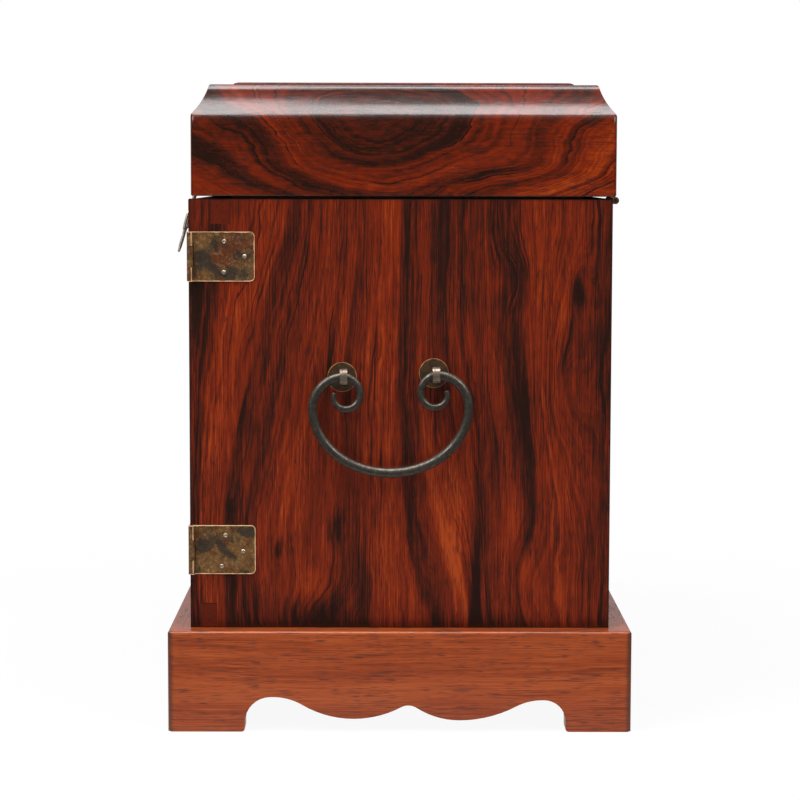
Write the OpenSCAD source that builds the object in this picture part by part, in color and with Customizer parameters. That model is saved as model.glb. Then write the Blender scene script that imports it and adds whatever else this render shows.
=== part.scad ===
// Table chest for seals, in the form of a low Chinese cabinet: a plinth with a shaped
// apron, a body with two doors over four drawers, and a hinged lid over a shallow tray.
// Millimetres, +Z up, doors towards -Y. The origin lies on the floor, at the middle of
// the whole footprint, which the tip of the hanging hasp makes deeper than the plinth.

/* [Plinth] */
// Distance that the plinth stands out beyond the body's sides
base_side_out = 12.4; // [10:0.1:30]
// Distance that it stands out beyond the body's front and back
base_front_out = 12.6; // [6:0.1:24]
// Height of the plinth
base_h = 59; // [50:0.5:80]
// Width of the ledge that carries the body, on the inside of the plinth's boards
base_t = 26; // [20:1:34]
// Height of that ledge
ledge_h = 22; // [16:1:26]
// Thickness of the boards under the ledge
apron_t = 14; // [10:0.5:18]
// Radius of the rounded top edge of the plinth
base_edge_r = 2; // [1:0.5:5]
// Radius of the plinth's upright corners
base_corner_r = 3.2; // [0.5:0.1:5]
// Width of the front feet, seen from the side
foot_front = 44.7; // [30:0.1:55]
// Width of the rear feet, seen from the side
foot_rear = 38.2; // [30:0.1:55]
// Width of the feet, seen from the front
foot_side = 46; // [30:0.5:60]
// Height of the side aprons' arches, beside the front foot and the rear one
arch_h = [20.4, 18.7]; // [14:0.1:26]
// Height of the side aprons' low points above the floor, front and rear
drop_h = [7.6, 6.8]; // [5:0.1:10]
// Height of the hump between the low points
hump_h = 15.5; // [11:0.1:20]
// Radius where a front foot and a rear one turn into their arches
foot_r = [15, 12.5]; // [8:0.5:16]
// Distance from that curve to the arch's crest, front and rear
crest_in = [1.5, 1]; // [0:0.5:4]
// Side of the square glue blocks in the plinth's corners
glue_block = 20; // [14:1:26]
// Length of the side aprons' slopes from crest to low point, front and rear
side_slope = [46.7, 48.2]; // [36:0.1:60]
// Length of the front apron's slopes from crest to low point
front_slope = 76; // [50:1:100]
// Radii over the crests beside the feet and over the hump, on the side aprons
side_crest_r = [33, 9]; // [6:1:60]
// The same radii on the front and rear aprons
front_crest_r = [60, 22]; // [10:1:90]

/* [Body] */
// Width of the body
body_w = 320; // [300:1:340]
// Depth of the body
body_d = 244; // [230:1:250]
// Height of the body
body_h = 249.5; // [240:0.5:280]
// Thickness of the side panels
side_t = 15; // [13:0.5:18]
// Thickness of the back panel
back_t = 16; // [12:0.5:20]
// Thickness of the doors
door_t = 12; // [9:0.5:14]
// Height of the rail under the doors
rail_h = 14.5; // [12:0.5:18]
// Depth of the rail under the doors
rail_d = 22; // [18:1:30]
// Thickness of the bottom board
bottom_t = 10; // [8:0.5:12]
// Thickness of the shelves, the divider and the floor of the tray
shelf_t = 8; // [6:0.5:10]
// Height of the bottom drawer's bay
bay_low = 66; // [50:1:72]
// Height of the middle drawer's bay
bay_mid = 52; // [40:1:56]
// Height of the top drawers' bays
bay_top = 48; // [36:1:52]
// Thickness of the rail in front of the tray
tray_rail_t = 11.6; // [9:0.1:14]
// Width and height of the strips that the lid closes round
strip = [6, 22]; // [4:1:26]
// Height that those strips stand above the body
strip_rise = 5; // [3:0.5:8]

/* [Lid] */
// Distance that the lid stands out beyond the body's sides
lid_side_out = 1; // [0:0.1:3]
// Distance that it is set back behind the doors' face
lid_back = 1.5; // [0:0.1:3]
// Distance that it stands out beyond the body's back
lid_rear_out = 2; // [0:0.1:3]
// Gap between the body and the lid
lid_gap = 1.5; // [1:0.1:2.5]
// Height of the lid's upright face, up to the shoulder under the cove
lid_face_h = 44.8; // [42:0.1:60]
// Radius of that shoulder
lid_shoulder_r = 4; // [2:0.1:6]
// Height of the cove round the lid
cove_h = 15.3; // [10:0.1:20]
// Slopes of the cove at its foot and at its top, in degrees
cove_slope = [47, 73]; // [40:1:80]
// Radius of the rim above the cove
rim_r = 1.6; // [1:0.1:2.5]
// Radius of the lid's upright corners
lid_corner_r = 2.4; // [1:0.1:4]
// Thickness of the lid's walls
lid_t = 15; // [12:0.5:16]
// Width of the flat rim round the lid's raised panel
rim_w = 11.8; // [8:0.1:20]
// Height of the raised panel above the rim
field_rise = 1.7; // [1:0.1:4]
// Thickness and depth of the raised panel's tongue
tongue = [5, 5]; // [3:0.5:6]

/* [Drawers] */
// Distance from the doors' back to the drawers' fronts
drawer_set = 21; // [16:0.5:26]
// Thickness of the drawers' fronts
front_t = 10; // [8:0.5:12]
// Thickness of the drawers' sides and backs
drawer_side_t = 7; // [5:0.5:8]
// Gap in the glued joints inside a drawer or between the lid's strips
seam = 0.05; // [0.02:0.01:0.1]
// Thickness of the drawers' bottoms
drawer_floor_t = 4; // [3:0.5:5]
// Gap beside and above each drawer
drawer_gap = 0.7; // [0.5:0.1:1.2]
// Gap below each drawer
drawer_under = 0.3; // [0.2:0.05:0.4]

/* [Hinges] */
// Length of a door hinge's leaf
leaf_l = 37; // [30:0.5:44]
// Height of a door hinge
leaf_h = 28.5; // [22:0.5:32]
// Thickness of every hinge's leaves
leaf_t = 0.8; // [0.6:0.1:1.2]
// Corner radius of the leaves
leaf_r = 2.6; // [1:0.1:4]
// Radius of the door hinges' knuckles
knuckle_r = 1.8; // [1.6:0.05:2]
// Radius of the door hinges' pins
pin_r = 1; // [0.8:0.05:1.2]
// Height of the middle knuckle
mid_knuckle = 12; // [8:0.5:14]
// Distance from the body's top edge down to the upper hinges' middle
hinge_down = 33.2; // [24:0.1:60]
// Distance from the body's lower edge up to the lower hinges' middle
hinge_up = 46; // [30:0.1:60]
// Length of a lid hinge
lid_hinge_l = 44; // [36:1:60]
// Distance from the chest's middle to the lid hinges' outer ends
lid_hinge_out = 130; // [100:1:140]
// Height of each leaf of the lid hinges
lid_leaf_h = 24; // [18:1:30]
// Radius of the lid hinges' knuckles
lid_knuckle_r = 2.15; // [1.6:0.05:2.2]

/* [Lock and pulls] */
// Radius of the round lock plate
plate_r = 38; // [34:0.5:42]
// Thickness of the plates
plate_t = 0.8; // [0.6:0.1:1.2]
// Height of the hasp's pin above the joint of the lid
hasp_up = 24.5; // [20:0.5:28]
// Length of the hasp from its pin to its tip
hasp_l = 63.8; // [58:0.2:68]
// Distance from the hasp's pin to the middle of its two slots
hasp_slot_l = 42; // [38:0.5:46]
// Width of the hasp's neck
hasp_neck = 12; // [9:0.5:16]
// Radii of the hasp's head, side lobes, tip and neck beads
hasp_lobes = [13.5, 7.5, 8.5, 4]; // [3:0.5:16]
// Width and height of the hasp's slots
hasp_slot = [3.2, 9.6]; // [2.4:0.1:11]
// Thickness of the hasp
hasp_t = 1; // [0.8:0.1:1.2]
// Angle at which the hasp hangs off the doors
hasp_tilt = 16.3; // [10:0.1:20]
// Half of the distance between the two lock staples
staple_x = 7; // [6:0.1:9]
// Distance that the lock staples stand off the doors
staple_out = 9; // [7:0.5:9.5]
// Radius of the plate behind the door pulls
pull_plate_r = 20; // [16:1:24]
// Distance from the body's top edge down to the door pulls' pivots
pull_down = 117; // [90:1:150]
// Length of the door pulls
pull_l = 32; // [24:1:40]
// Length of the drawer pulls
drawer_pull_l = 15; // [11:0.5:16]

/* [Side handles] */
// Distance from the body's top edge down to the side handles' pivots
bail_down = 101.5; // [80:0.1:125]
// Distance of the handles' middle from the chest's, towards the rear
bail_y = -5.9; // [-20:0.1:20]
// Half of the distance between the two pivots of a handle
bail_half = 26.7; // [22:0.1:30]
// Half of the width of a handle, to the middle of its rod
bail_reach = 45.1; // [40:0.1:52]
// Drop of a handle, to the middle of its rod
bail_drop = 56.3; // [48:0.1:64]
// Radius of a handle's rod at the bottom, at its shoulders, in its scrolls and at its tips
rod_r = [2.9, 2.75, 2.2, 1.6]; // [0.8:0.05:3.2]
// Radius of the scrolls at their start, and how much it shrinks in each quarter turn
scroll = [11, 1.65]; // [1:0.05:13]
// Distance from the side panel to a handle's pivot
bail_off = 5.8; // [5:0.1:7]
// Slope of the handles' pivot line, rising to the rear
bail_slope = 1.2; // [0:0.1:3]
// Radius of the round plates behind the handles' staples
rose_r = 8.6; // [7:0.1:10]
// Offset of the front and the rear plate from its staple, backwards and up
rose_off = [[-1, -0.5], [-1.4, 0.7]]; // [-2:0.1:2]
// Thickness of those plates
rose_t = 1; // [0.8:0.1:1.2]
// Width of the handles' staples
eye_w = 4.2; // [3:0.1:5]

/* [Hidden] */
$fn = 48;

// Colours
wood = "#7a2e18";
plinth_wood = "#9a4a2c";
inner_wood = "#a06a3c";
brass = "#8c7648";
iron = "#4a4a44";
eps = 0.01;

// Sizes that follow the body
base_w = body_w + 2 * base_side_out;
base_d = body_d + 2 * base_front_out;
lid_w = body_w + 2 * lid_side_out;
lid_d = body_d - lid_back + lid_rear_out;

// Heights and planes of the body
body_x = body_w / 2;
front_y = -body_d / 2;
rear_y = body_d / 2;
body_top = base_h + body_h;
inner_x = body_x - side_t;
inner_rear = rear_y - back_t;
door_back = front_y + door_t;
seat_gap = 0.4;
rail_back = front_y + rail_d;
rail_top = base_h + rail_h;
drawer_y = door_back + drawer_set;
floor_1 = rail_top;
floor_2 = floor_1 + bay_low + shelf_t;
floor_3 = floor_2 + bay_mid + shelf_t;
tray_z = floor_3 + bay_top;
tray_rail_y = door_back + seat_gap;
tray_y = tray_rail_y + tray_rail_t;

pull_z = body_top - pull_down;
bail_z = body_top - bail_down;

// Doors
door_low = rail_top + 0.5;
door_high = body_top - 0.5;
door_mid_gap = 0.3;

// Lid
lid_x = lid_w / 2;
lid_low = body_top + lid_gap;
lid_front = front_y + lid_back;
lid_rear = lid_front + lid_d;
lid_mid = (lid_front + lid_rear) / 2;
cove_r = cove_h / (cos(cove_slope[0]) - cos(cove_slope[1]));
cove_w = cove_r * (sin(cove_slope[1]) - sin(cove_slope[0]));
lid_shoulder_z = lid_low + lid_face_h;
cove_foot = [lid_shoulder_r * (1 - sin(cove_slope[0])),
    lid_shoulder_z + lid_shoulder_r * cos(cove_slope[0])];
cove_top = cove_foot + [cove_w, cove_h];
rim_mid = cove_top + rim_r * [sin(cove_slope[1]), -cos(cove_slope[1])];
rim_z = rim_mid[1] + rim_r;
field_in = rim_mid[0] + rim_w;
panel_under = 14;

// Door hinges: the pin stands off the side panel's face, near the front corner
hinge_z = [body_top - hinge_down, base_h + hinge_up];
hinge_x = body_x + knuckle_r + 0.3;
hinge_y = front_y + knuckle_r - leaf_t;
pin_gap = 0.05;
knuckle_gap = 0.3;

// Lid hinges: the pin lies behind the lid's rear face, level with the body's top edge
lid_pin_y = lid_rear + lid_knuckle_r + 0.1;
lid_pin_z = body_top - 1;
lid_mid_knuckle = 16;

// Lock
hasp_z = lid_low - lid_gap / 2 + hasp_up;
eye_r = 1.8;
hasp_y = lid_front - plate_t - eye_r - 0.6;
staple_z = hasp_z - hasp_slot_l;
joint_z = body_top + lid_gap / 2;
hasp_tip_y = hasp_y - hasp_l * sin(hasp_tilt) - hasp_t / 2;

// The footprint's middle
front_reach = max(base_d / 2, -hasp_tip_y);
mid_y = (front_reach - base_d / 2) / 2;

// Small outlines

module rounded_rect(w, d, r) {
    square([w, d - 2 * r], center = true);
    square([w - 2 * r, d], center = true);
    for (sx = [-1, 1], sy = [-1, 1])
        translate([sx * (w / 2 - r), sy * (d / 2 - r)]) circle(r);
}

module half_disc(r, side) {
    intersection() {
        circle(r, $fn = 96);
        translate([0, side * r]) square([2 * r, 2 * r], center = true);
    }
}

function arc(c, r, a0, a1, n) =
    [for (i = [0 : n]) let (a = a0 + (a1 - a0) * i / n) c + r * [cos(a), sin(a)]];

// An ogee from a crest to a trough: an arc of radius r over the crest, and a
// larger one under the trough that it meets smoothly.
function ogee(crest, trough, r, n = 7) =
    let (
        run = trough[0] - crest[0],
        fall = crest[1] - trough[1],
        both = (run * run + fall * fall) / (2 * fall),
        turn = asin(abs(run) / both),
        way = sign(run),
        low_r = both - r
    )
    concat(
        [for (i = [0 : n]) let (a = turn * i / n)
            crest + [way * r * sin(a), -r * (1 - cos(a))]],
        [for (i = [n - 1 : -1 : 0]) let (a = turn * i / n)
            trough + [-way * low_r * sin(a), low_r * (1 - cos(a))]]
    );

function reversed(list) = [for (i = [len(list) - 1 : -1 : 0]) list[i]];

// Plinth

// Lower outline of an apron board: foot, arch, drop, hump, drop, arch, foot.
module apron_outline(length, feet, turns, crests, troughs, hump, crest_r, hump_r) {
    ease = 2;
    half = length / 2;
    edge_0 = -half + feet[0];
    edge_1 = half - feet[1];
    polygon(concat(
        [[-half, base_h], [-half, ease]],
        arc([-half + ease, ease], ease, 180, 270, 4),
        arc([edge_0 - ease, ease], ease, 270, 360, 4),
        arc([edge_0 + turns[0], crests[0][1] - turns[0]], turns[0], 180, 90, 8),
        ogee(crests[0], troughs[0], crest_r),
        reversed(ogee(hump, troughs[0], hump_r)),
        ogee(hump, troughs[1], hump_r),
        reversed(ogee(crests[1], troughs[1], crest_r)),
        arc([edge_1 - turns[1], crests[1][1] - turns[1]], turns[1], 90, 0, 8),
        arc([edge_1 + ease, ease], ease, 180, 270, 4),
        arc([half - ease, ease], ease, 270, 360, 4),
        [[half, base_h]]
    ));
}

// A mitred board on the +X side of the plinth, with its apron outline as child.
module plinth_board(half_out, half_len) {
    intersection() {
        rotate([90, 0, 0]) linear_extrude(2 * half_len, center = true)
            translate([half_out - base_t, 0]) {
                translate([base_t - apron_t, 0]) square([apron_t, base_h - base_edge_r]);
                translate([0, base_h - ledge_h]) square([base_t - base_edge_r, ledge_h]);
                translate([base_t - base_edge_r, base_h - base_edge_r])
                    circle(base_edge_r);
            }
        translate([half_out - base_t - 1, 0, 0]) rotate([90, 0, 90])
            linear_extrude(base_t + 2) children();
        linear_extrude(base_h) polygon([
            [half_out, -half_len], [half_out, half_len],
            [half_out - base_t, half_len - base_t],
            [half_out - base_t, -half_len + base_t]
        ]);
        linear_extrude(base_h)
            rounded_rect(2 * half_out, 2 * half_len, base_corner_r);
    }
}

module side_apron() {
    half = base_d / 2;
    crest_0 = -half + foot_front + foot_r[0] + crest_in[0];
    crest_1 = half - foot_rear - foot_r[1] - crest_in[1];
    apron_outline(base_d, [foot_front, foot_rear], foot_r,
        [[crest_0, arch_h[0]], [crest_1, arch_h[1]]],
        [[crest_0 + side_slope[0], drop_h[0]], [crest_1 - side_slope[1], drop_h[1]]],
        [(crest_0 + crest_1) / 2 + 0.3, hump_h], side_crest_r[0], side_crest_r[1]);
}

module front_apron() {
    crest = base_w / 2 - foot_side - foot_r[0] - crest_in[0];
    apron_outline(base_w, [foot_side, foot_side], [foot_r[0], foot_r[0]],
        [[-crest, arch_h[0]], [crest, arch_h[0]]],
        [[-crest + front_slope, drop_h[0]], [crest - front_slope, drop_h[0]]],
        [0, hump_h], front_crest_r[0], front_crest_r[1]);
}

module base_right_board() {
    color(plinth_wood) translate([0, mid_y, 0])
        plinth_board(base_w / 2, base_d / 2) side_apron();
}

module base_left_board() {
    mirror([1, 0, 0]) base_right_board();
}

module base_front_board() {
    color(plinth_wood) translate([0, mid_y, 0]) rotate([0, 0, -90])
        plinth_board(base_d / 2, base_w / 2) front_apron();
}

module base_rear_board() {
    color(plinth_wood) translate([0, mid_y, 0]) rotate([0, 0, 90])
        plinth_board(base_d / 2, base_w / 2) front_apron();
}

module base_corner_blocks() {
    color(inner_wood) translate([0, mid_y, 0])
        for (sx = [-1, 1], sy = [-1, 1])
            translate([
                sx * (base_w / 2 - base_t - glue_block / 2),
                sy * (base_d / 2 - base_t - glue_block / 2),
                base_h - ledge_h / 2
            ]) cube([glue_block, glue_block, ledge_h], center = true);
}

// Body

// Legs of a handle's staple, which pass through its plate into the side panel.
module staple_legs(reach) {
    for (s = [-1, 1])
        translate([body_x - 9, s * bail_half - eye_w / 2, -1])
            cube([9 + reach, eye_w, 2]);
}

module on_bail_line() {
    translate([0, bail_y, bail_z]) rotate([bail_slope, 0, 0]) children();
}

// Tenons; a mortise runs over by the given length at both of the panel's faces.
module bottom_tenon(over = 0) {
    translate([inner_x - over, front_y + 7.5, base_h + 0.5])
        cube([side_t + 2 * over, 8, rail_h - 0.5]);
}

module top_tenon(over = 0) {
    translate([inner_x - over, tray_rail_y, body_top - 14.5])
        cube([side_t + 2 * over, tray_rail_t, 13.5]);
}

module right_side_panel() {
    cut = door_back + seat_gap;
    color(wood) translate([0, mid_y, 0]) difference() {
        translate([0, 0, base_h]) linear_extrude(body_h) polygon([
            [body_x, front_y + seat_gap], [body_x, rear_y], [inner_x, rear_y],
            [inner_x, cut], [body_x - door_t, cut]
        ]);
        bottom_tenon(1);
        top_tenon(1);
        on_bail_line() staple_legs(1);
    }
}

module left_side_panel() {
    mirror([1, 0, 0]) right_side_panel();
}

module back_panel() {
    color(wood) translate([-inner_x, mid_y + inner_rear, base_h])
        cube([2 * inner_x, back_t, body_h]);
}

module bottom_board() {
    color(inner_wood) translate([-inner_x, mid_y + rail_back, rail_top - bottom_t])
        cube([2 * inner_x, inner_rear - rail_back, bottom_t]);
}

module front_bottom_rail() {
    cut = door_back + seat_gap;
    color(wood) translate([0, mid_y, 0]) for (s = [0, 1]) mirror([s, 0, 0]) {
        translate([0, 0, base_h]) linear_extrude(rail_h) polygon([
            [0, front_y], [body_x - seat_gap, front_y],
            [body_x - door_t, cut], [inner_x, cut],
            [inner_x, rail_back], [0, rail_back]
        ]);
        bottom_tenon();
    }
}

module tray_front_rail() {
    color(wood) translate([0, mid_y, 0]) {
        translate([-inner_x, tray_rail_y, tray_z])
            cube([2 * inner_x, tray_rail_t, body_top - tray_z]);
        for (s = [0, 1]) mirror([s, 0, 0]) top_tenon();
    }
}

module inner_board(y0, z0, t) {
    color(inner_wood) translate([-inner_x, mid_y + y0, z0])
        cube([2 * inner_x, inner_rear - y0, t]);
}

module tray_board() {
    inner_board(tray_y, tray_z, shelf_t);
}

module upper_shelf() {
    inner_board(drawer_y, floor_3 - shelf_t, shelf_t);
}

module lower_shelf() {
    inner_board(drawer_y, floor_2 - shelf_t, shelf_t);
}

module upper_divider() {
    color(inner_wood) translate([-shelf_t / 2, mid_y + drawer_y, floor_3])
        cube([shelf_t, inner_rear - drawer_y, bay_top]);
}

// Strips inside the body's mouth; the lid closes round them.
module lid_locating_strips() {
    low = body_top + strip_rise - strip[1];
    color(inner_wood) translate([0, mid_y, low]) {
        for (s = [0, 1]) mirror([s, 0, 0])
            translate([inner_x - strip[0], tray_y, 0])
                cube([strip[0], inner_rear - tray_y, strip[1]]);
        translate([-inner_x + strip[0] + seam, tray_y, 0])
            cube([2 * (inner_x - strip[0] - seam), strip[0], strip[1]]);
    }
}

// Lid

// Cross-section of a lid board: outer face at x = 0, inwards is +x. A convex shoulder
// leads into a cove, and the cove into the rounded rim.
module lid_section() {
    groove = rim_z - tongue[1];
    ease = 0.8;
    difference() {
        polygon(concat(
            [[ease, lid_low], [0, lid_low + ease]],
            arc([lid_shoulder_r, lid_shoulder_z], lid_shoulder_r, 180, 90 + cove_slope[0], 6),
            arc(rim_mid, rim_r, 90 + cove_slope[1], 90, 6),
            [[field_in, rim_z], [field_in, groove],
             [field_in - tongue[1], groove], [field_in - tongue[1], groove - tongue[0]],
             [field_in, groove - tongue[0]], [field_in, rim_z - panel_under],
             [lid_t, rim_z - panel_under], [lid_t, lid_low]]
        ));
        intersection() {
            translate(cove_foot + cove_r * [-sin(cove_slope[0]), cos(cove_slope[0])])
                circle(cove_r, $fn = 120);
            translate(cove_foot) square([cove_w, cove_h]);
        }
    }
}

// A mitred lid board on the +X side of a lid of the given half sizes.
module lid_board(half_out, half_len) {
    intersection() {
        rotate([90, 0, 0]) linear_extrude(2 * half_len, center = true)
            translate([half_out, 0]) mirror([1, 0]) lid_section();
        linear_extrude(rim_z + 1) polygon([
            [half_out, -half_len], [half_out, half_len],
            [half_out - half_len, 0]
        ]);
        linear_extrude(rim_z + 1) rounded_rect(2 * half_out, 2 * half_len, lid_corner_r);
    }
}

module lid_right_board() {
    color(wood) translate([0, mid_y + lid_mid, 0]) lid_board(lid_x, lid_d / 2);
}

module lid_left_board() {
    mirror([1, 0, 0]) lid_right_board();
}

module lid_front_board() {
    color(wood) translate([0, mid_y + lid_mid, 0]) rotate([0, 0, -90])
        lid_board(lid_d / 2, lid_x);
}

module lid_rear_board() {
    color(wood) translate([0, mid_y + lid_mid, 0]) rotate([0, 0, 90])
        lid_board(lid_d / 2, lid_x);
}

// Profile of the raised panel: field with a soft edge, and tongue.
module field_profile(half) {
    r = 4 * field_rise;
    top = rim_z + field_rise;
    edge = half - field_in - 0.3;
    low = rim_z - panel_under + 1;
    groove = rim_z - tongue[1];
    translate([-edge + r / 2, low]) square([2 * edge - r, top - low]);
    translate([-half + field_in - tongue[1] + 0.4, groove - tongue[0] + 0.2])
        square([2 * (half - field_in + tongue[1] - 0.4), tongue[0] - 0.4]);
    for (s = [0, 1]) mirror([s, 0]) intersection() {
        translate([edge - r / 2, top - r]) circle(r, $fn = 96);
        translate([edge - r / 2 - 0.5, low]) square([r / 2 + 0.5, top - low]);
    }
}

module lid_top_panel() {
    color(wood) translate([0, mid_y + lid_mid, 0]) intersection() {
        rotate([90, 0, 0]) linear_extrude(lid_d, center = true)
            field_profile(lid_x);
        rotate([90, 0, 90]) linear_extrude(lid_w, center = true)
            field_profile(lid_d / 2);
    }
}

// Doors

module right_door() {
    color(wood) translate([0, mid_y, door_low])
        linear_extrude(door_high - door_low) polygon([
            [door_mid_gap, front_y], [body_x - seat_gap, front_y],
            [body_x - door_t - seat_gap, door_back], [door_mid_gap, door_back]
        ]);
}

module left_door() {
    mirror([1, 0, 0]) right_door();
}

// Hinges

// A leaf with two rounded corners on its far side, from x = 0 to x = length.
module leaf_outline(length, height) {
    translate([0, -height / 2]) square([length - leaf_r, height]);
    translate([0, -height / 2 + leaf_r]) square([length, height - 2 * leaf_r]);
    for (s = [-1, 1])
        translate([length - leaf_r, s * (height / 2 - leaf_r)]) circle(leaf_r);
}

module ring(outer, hole, h) {
    difference() {
        cylinder(r = outer, h = h);
        translate([0, 0, -1]) cylinder(r = hole, h = h + 2);
    }
}

// Outer knuckles of the right-hand door hinges with the leaf on the side panel.
module side_leaf(z) {
    end_h = (leaf_h - mid_knuckle) / 2 - knuckle_gap / 2;
    swing = knuckle_r + knuckle_gap;
    difference() {
        union() {
            translate([body_x, hinge_y, z]) rotate([90, 0, 90])
                linear_extrude(leaf_t) leaf_outline(leaf_l, leaf_h);
            for (low = [z - leaf_h / 2, z + leaf_h / 2 - end_h])
                translate([hinge_x, hinge_y, low]) cylinder(r = knuckle_r, h = end_h);
        }
        translate([hinge_x, hinge_y, z - leaf_h / 2 - 1])
            cylinder(r = pin_r + pin_gap, h = leaf_h + 2);
        translate([body_x - 1, hinge_y - 3, z - leaf_h / 2 + end_h])
            cube([6, 3 + swing, leaf_h - 2 * end_h]);
    }
}

// Middle knuckle of the right-hand door hinges with the leaf on the door's face.
module door_leaf(z) {
    tab_h = mid_knuckle - knuckle_gap;
    difference() {
        union() {
            translate([body_x - seat_gap, front_y, z]) rotate([90, 0, 0])
                mirror([1, 0, 0]) linear_extrude(leaf_t) leaf_outline(leaf_l, leaf_h);
            translate([body_x - seat_gap - 1, front_y - leaf_t, z - tab_h / 2])
                cube([hinge_x - body_x + seat_gap + 1, leaf_t, tab_h]);
            translate([hinge_x, hinge_y, z - tab_h / 2])
                cylinder(r = knuckle_r, h = tab_h);
        }
        translate([hinge_x, hinge_y, z - leaf_h / 2])
            cylinder(r = pin_r + pin_gap, h = leaf_h);
    }
}

module door_hinge_side_leaves() {
    color(brass) translate([0, mid_y, 0])
        for (s = [0, 1], z = hinge_z) mirror([s, 0, 0]) side_leaf(z);
}

module door_hinge_pins() {
    color(brass) translate([0, mid_y, 0])
        for (s = [-1, 1], z = hinge_z)
            translate([s * hinge_x, hinge_y, z - leaf_h / 2])
                cylinder(r = pin_r, h = leaf_h);
}

module right_hinge_door_leaves() {
    color(brass) translate([0, mid_y, 0]) for (z = hinge_z) door_leaf(z);
}

module left_hinge_door_leaves() {
    mirror([1, 0, 0]) right_hinge_door_leaves();
}

module at_lid_hinges() {
    translate([0, mid_y, 0]) for (s = [0, 1]) mirror([s, 0, 0])
        translate([lid_hinge_out - lid_hinge_l, 0, 0]) children();
}

module lid_knuckle(x0, l) {
    translate([x0, lid_pin_y, lid_pin_z]) rotate([0, 90, 0])
        cylinder(r = lid_knuckle_r, h = l);
}

module lid_pin_hole() {
    translate([-1, lid_pin_y, lid_pin_z]) rotate([0, 90, 0])
        cylinder(r = pin_r + pin_gap, h = lid_hinge_l + 2);
}

module lid_hinge_body_leaves() {
    end_l = (lid_hinge_l - lid_mid_knuckle) / 2 - knuckle_gap / 2;
    color(brass) at_lid_hinges() difference() {
        union() {
            translate([0, rear_y, lid_pin_z - lid_leaf_h])
                cube([lid_hinge_l, leaf_t, lid_leaf_h]);
            for (x0 = [0, lid_hinge_l - end_l]) {
                lid_knuckle(x0, end_l);
                translate([x0, rear_y, lid_pin_z - 2 * leaf_t])
                    cube([end_l, lid_pin_y - rear_y - pin_r, 2 * leaf_t]);
            }
        }
        lid_pin_hole();
    }
}

module lid_hinge_lid_leaves() {
    mid_l = lid_mid_knuckle - knuckle_gap;
    color(brass) at_lid_hinges() difference() {
        union() {
            translate([0, lid_rear, lid_low + 0.3])
                cube([lid_hinge_l, leaf_t, lid_leaf_h]);
            lid_knuckle((lid_hinge_l - mid_l) / 2, mid_l);
            translate([(lid_hinge_l - mid_l) / 2, lid_rear, lid_pin_z])
                cube([mid_l, leaf_t, lid_low - lid_pin_z + 1]);
        }
        lid_pin_hole();
    }
}

module lid_hinge_pins() {
    color(brass) at_lid_hinges()
        translate([0, lid_pin_y, lid_pin_z]) rotate([0, 90, 0])
            cylinder(r = pin_r, h = lid_hinge_l);
}

// Lock

module lid_lock_plate() {
    lug_in = 5;
    lug_out = 8;
    color(brass) translate([0, mid_y, 0]) difference() {
        union() {
            translate([0, lid_front, joint_z]) rotate([90, 0, 0])
                linear_extrude(plate_t) intersection() {
                    half_disc(plate_r, 1);
                    translate([-plate_r, lid_gap / 2 + 0.3])
                        square([2 * plate_r, plate_r]);
                }
            for (s = [0, 1]) mirror([s, 0, 0]) {
                translate([lug_in, hasp_y, hasp_z]) rotate([0, 90, 0])
                    cylinder(r = eye_r, h = lug_out - lug_in);
                translate([lug_in, hasp_y, hasp_z - 1.2])
                    cube([lug_out - lug_in, lid_front - hasp_y - plate_t / 2, 2.4]);
            }
        }
        translate([-lug_out - 1, hasp_y, hasp_z]) rotate([0, 90, 0])
            cylinder(r = pin_r + pin_gap, h = 2 * lug_out + 2);
    }
}

module hasp_pin() {
    color(brass) translate([-8, mid_y + hasp_y, hasp_z]) rotate([0, 90, 0])
        cylinder(r = pin_r, h = 16);
}

// Cloud-headed hasp, seen face on, with its pin at the origin and its tip down.
module hasp_outline() {
    head = hasp_lobes[0];
    lobe = hasp_lobes[1];
    tip = hasp_lobes[2];
    bead = hasp_lobes[3];
    difference() {
        union() {
            translate([-hasp_neck / 2, -hasp_slot_l + lobe])
                square([hasp_neck, hasp_slot_l - lobe - 1]);
            translate([0, -hasp_slot_l + 2]) circle(head);
            for (s = [-1, 1]) {
                translate([s * (head - 1), -hasp_slot_l + 1]) circle(lobe);
                translate([s * (hasp_neck / 2 + 0.5), -hasp_slot_l + 2 * lobe]) circle(bead);
            }
            translate([0, -hasp_l + tip]) circle(tip);
        }
        for (s = [-1, 1])
            translate([s * staple_x, -hasp_slot_l]) square(hasp_slot, center = true);
    }
}

module hasp() {
    eye_l = 9.4;
    color(brass) translate([0, mid_y + hasp_y, hasp_z]) rotate([-hasp_tilt, 0, 0])
        difference() {
            union() {
                rotate([90, 0, 0]) linear_extrude(hasp_t, center = true) hasp_outline();
                translate([-eye_l / 2, 0, 0]) rotate([0, 90, 0])
                    cylinder(r = eye_r, h = eye_l);
            }
            translate([-eye_l, 0, 0]) rotate([0, 90, 0])
                cylinder(r = pin_r + pin_gap, h = 2 * eye_l);
            for (s = [-1, 1])
                translate([s * (eye_l / 2 + 3) - 3, -3, -2.2]) cube([6, 6, 4.4]);
        }
}

module right_door_plates() {
    color(brass) translate([0, mid_y + front_y, 0]) rotate([90, 0, 0])
        linear_extrude(plate_t) intersection() {
            union() {
                translate([0, joint_z]) circle(plate_r, $fn = 96);
                translate([0, pull_z - 8]) circle(pull_plate_r, $fn = 72);
            }
            translate([0.6, door_low]) square([plate_r, door_high - door_low - 0.3]);
        }
}

module left_door_plates() {
    mirror([1, 0, 0]) right_door_plates();
}

// Drop pulls and their staples, with the pivot at the origin and the plate
// pull_off behind it.
pull_eye = 3;
pull_pin = 1.1;
pull_hole = 1.6;
pull_off = pull_eye + 0.4;
pull_x = 11;

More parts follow.
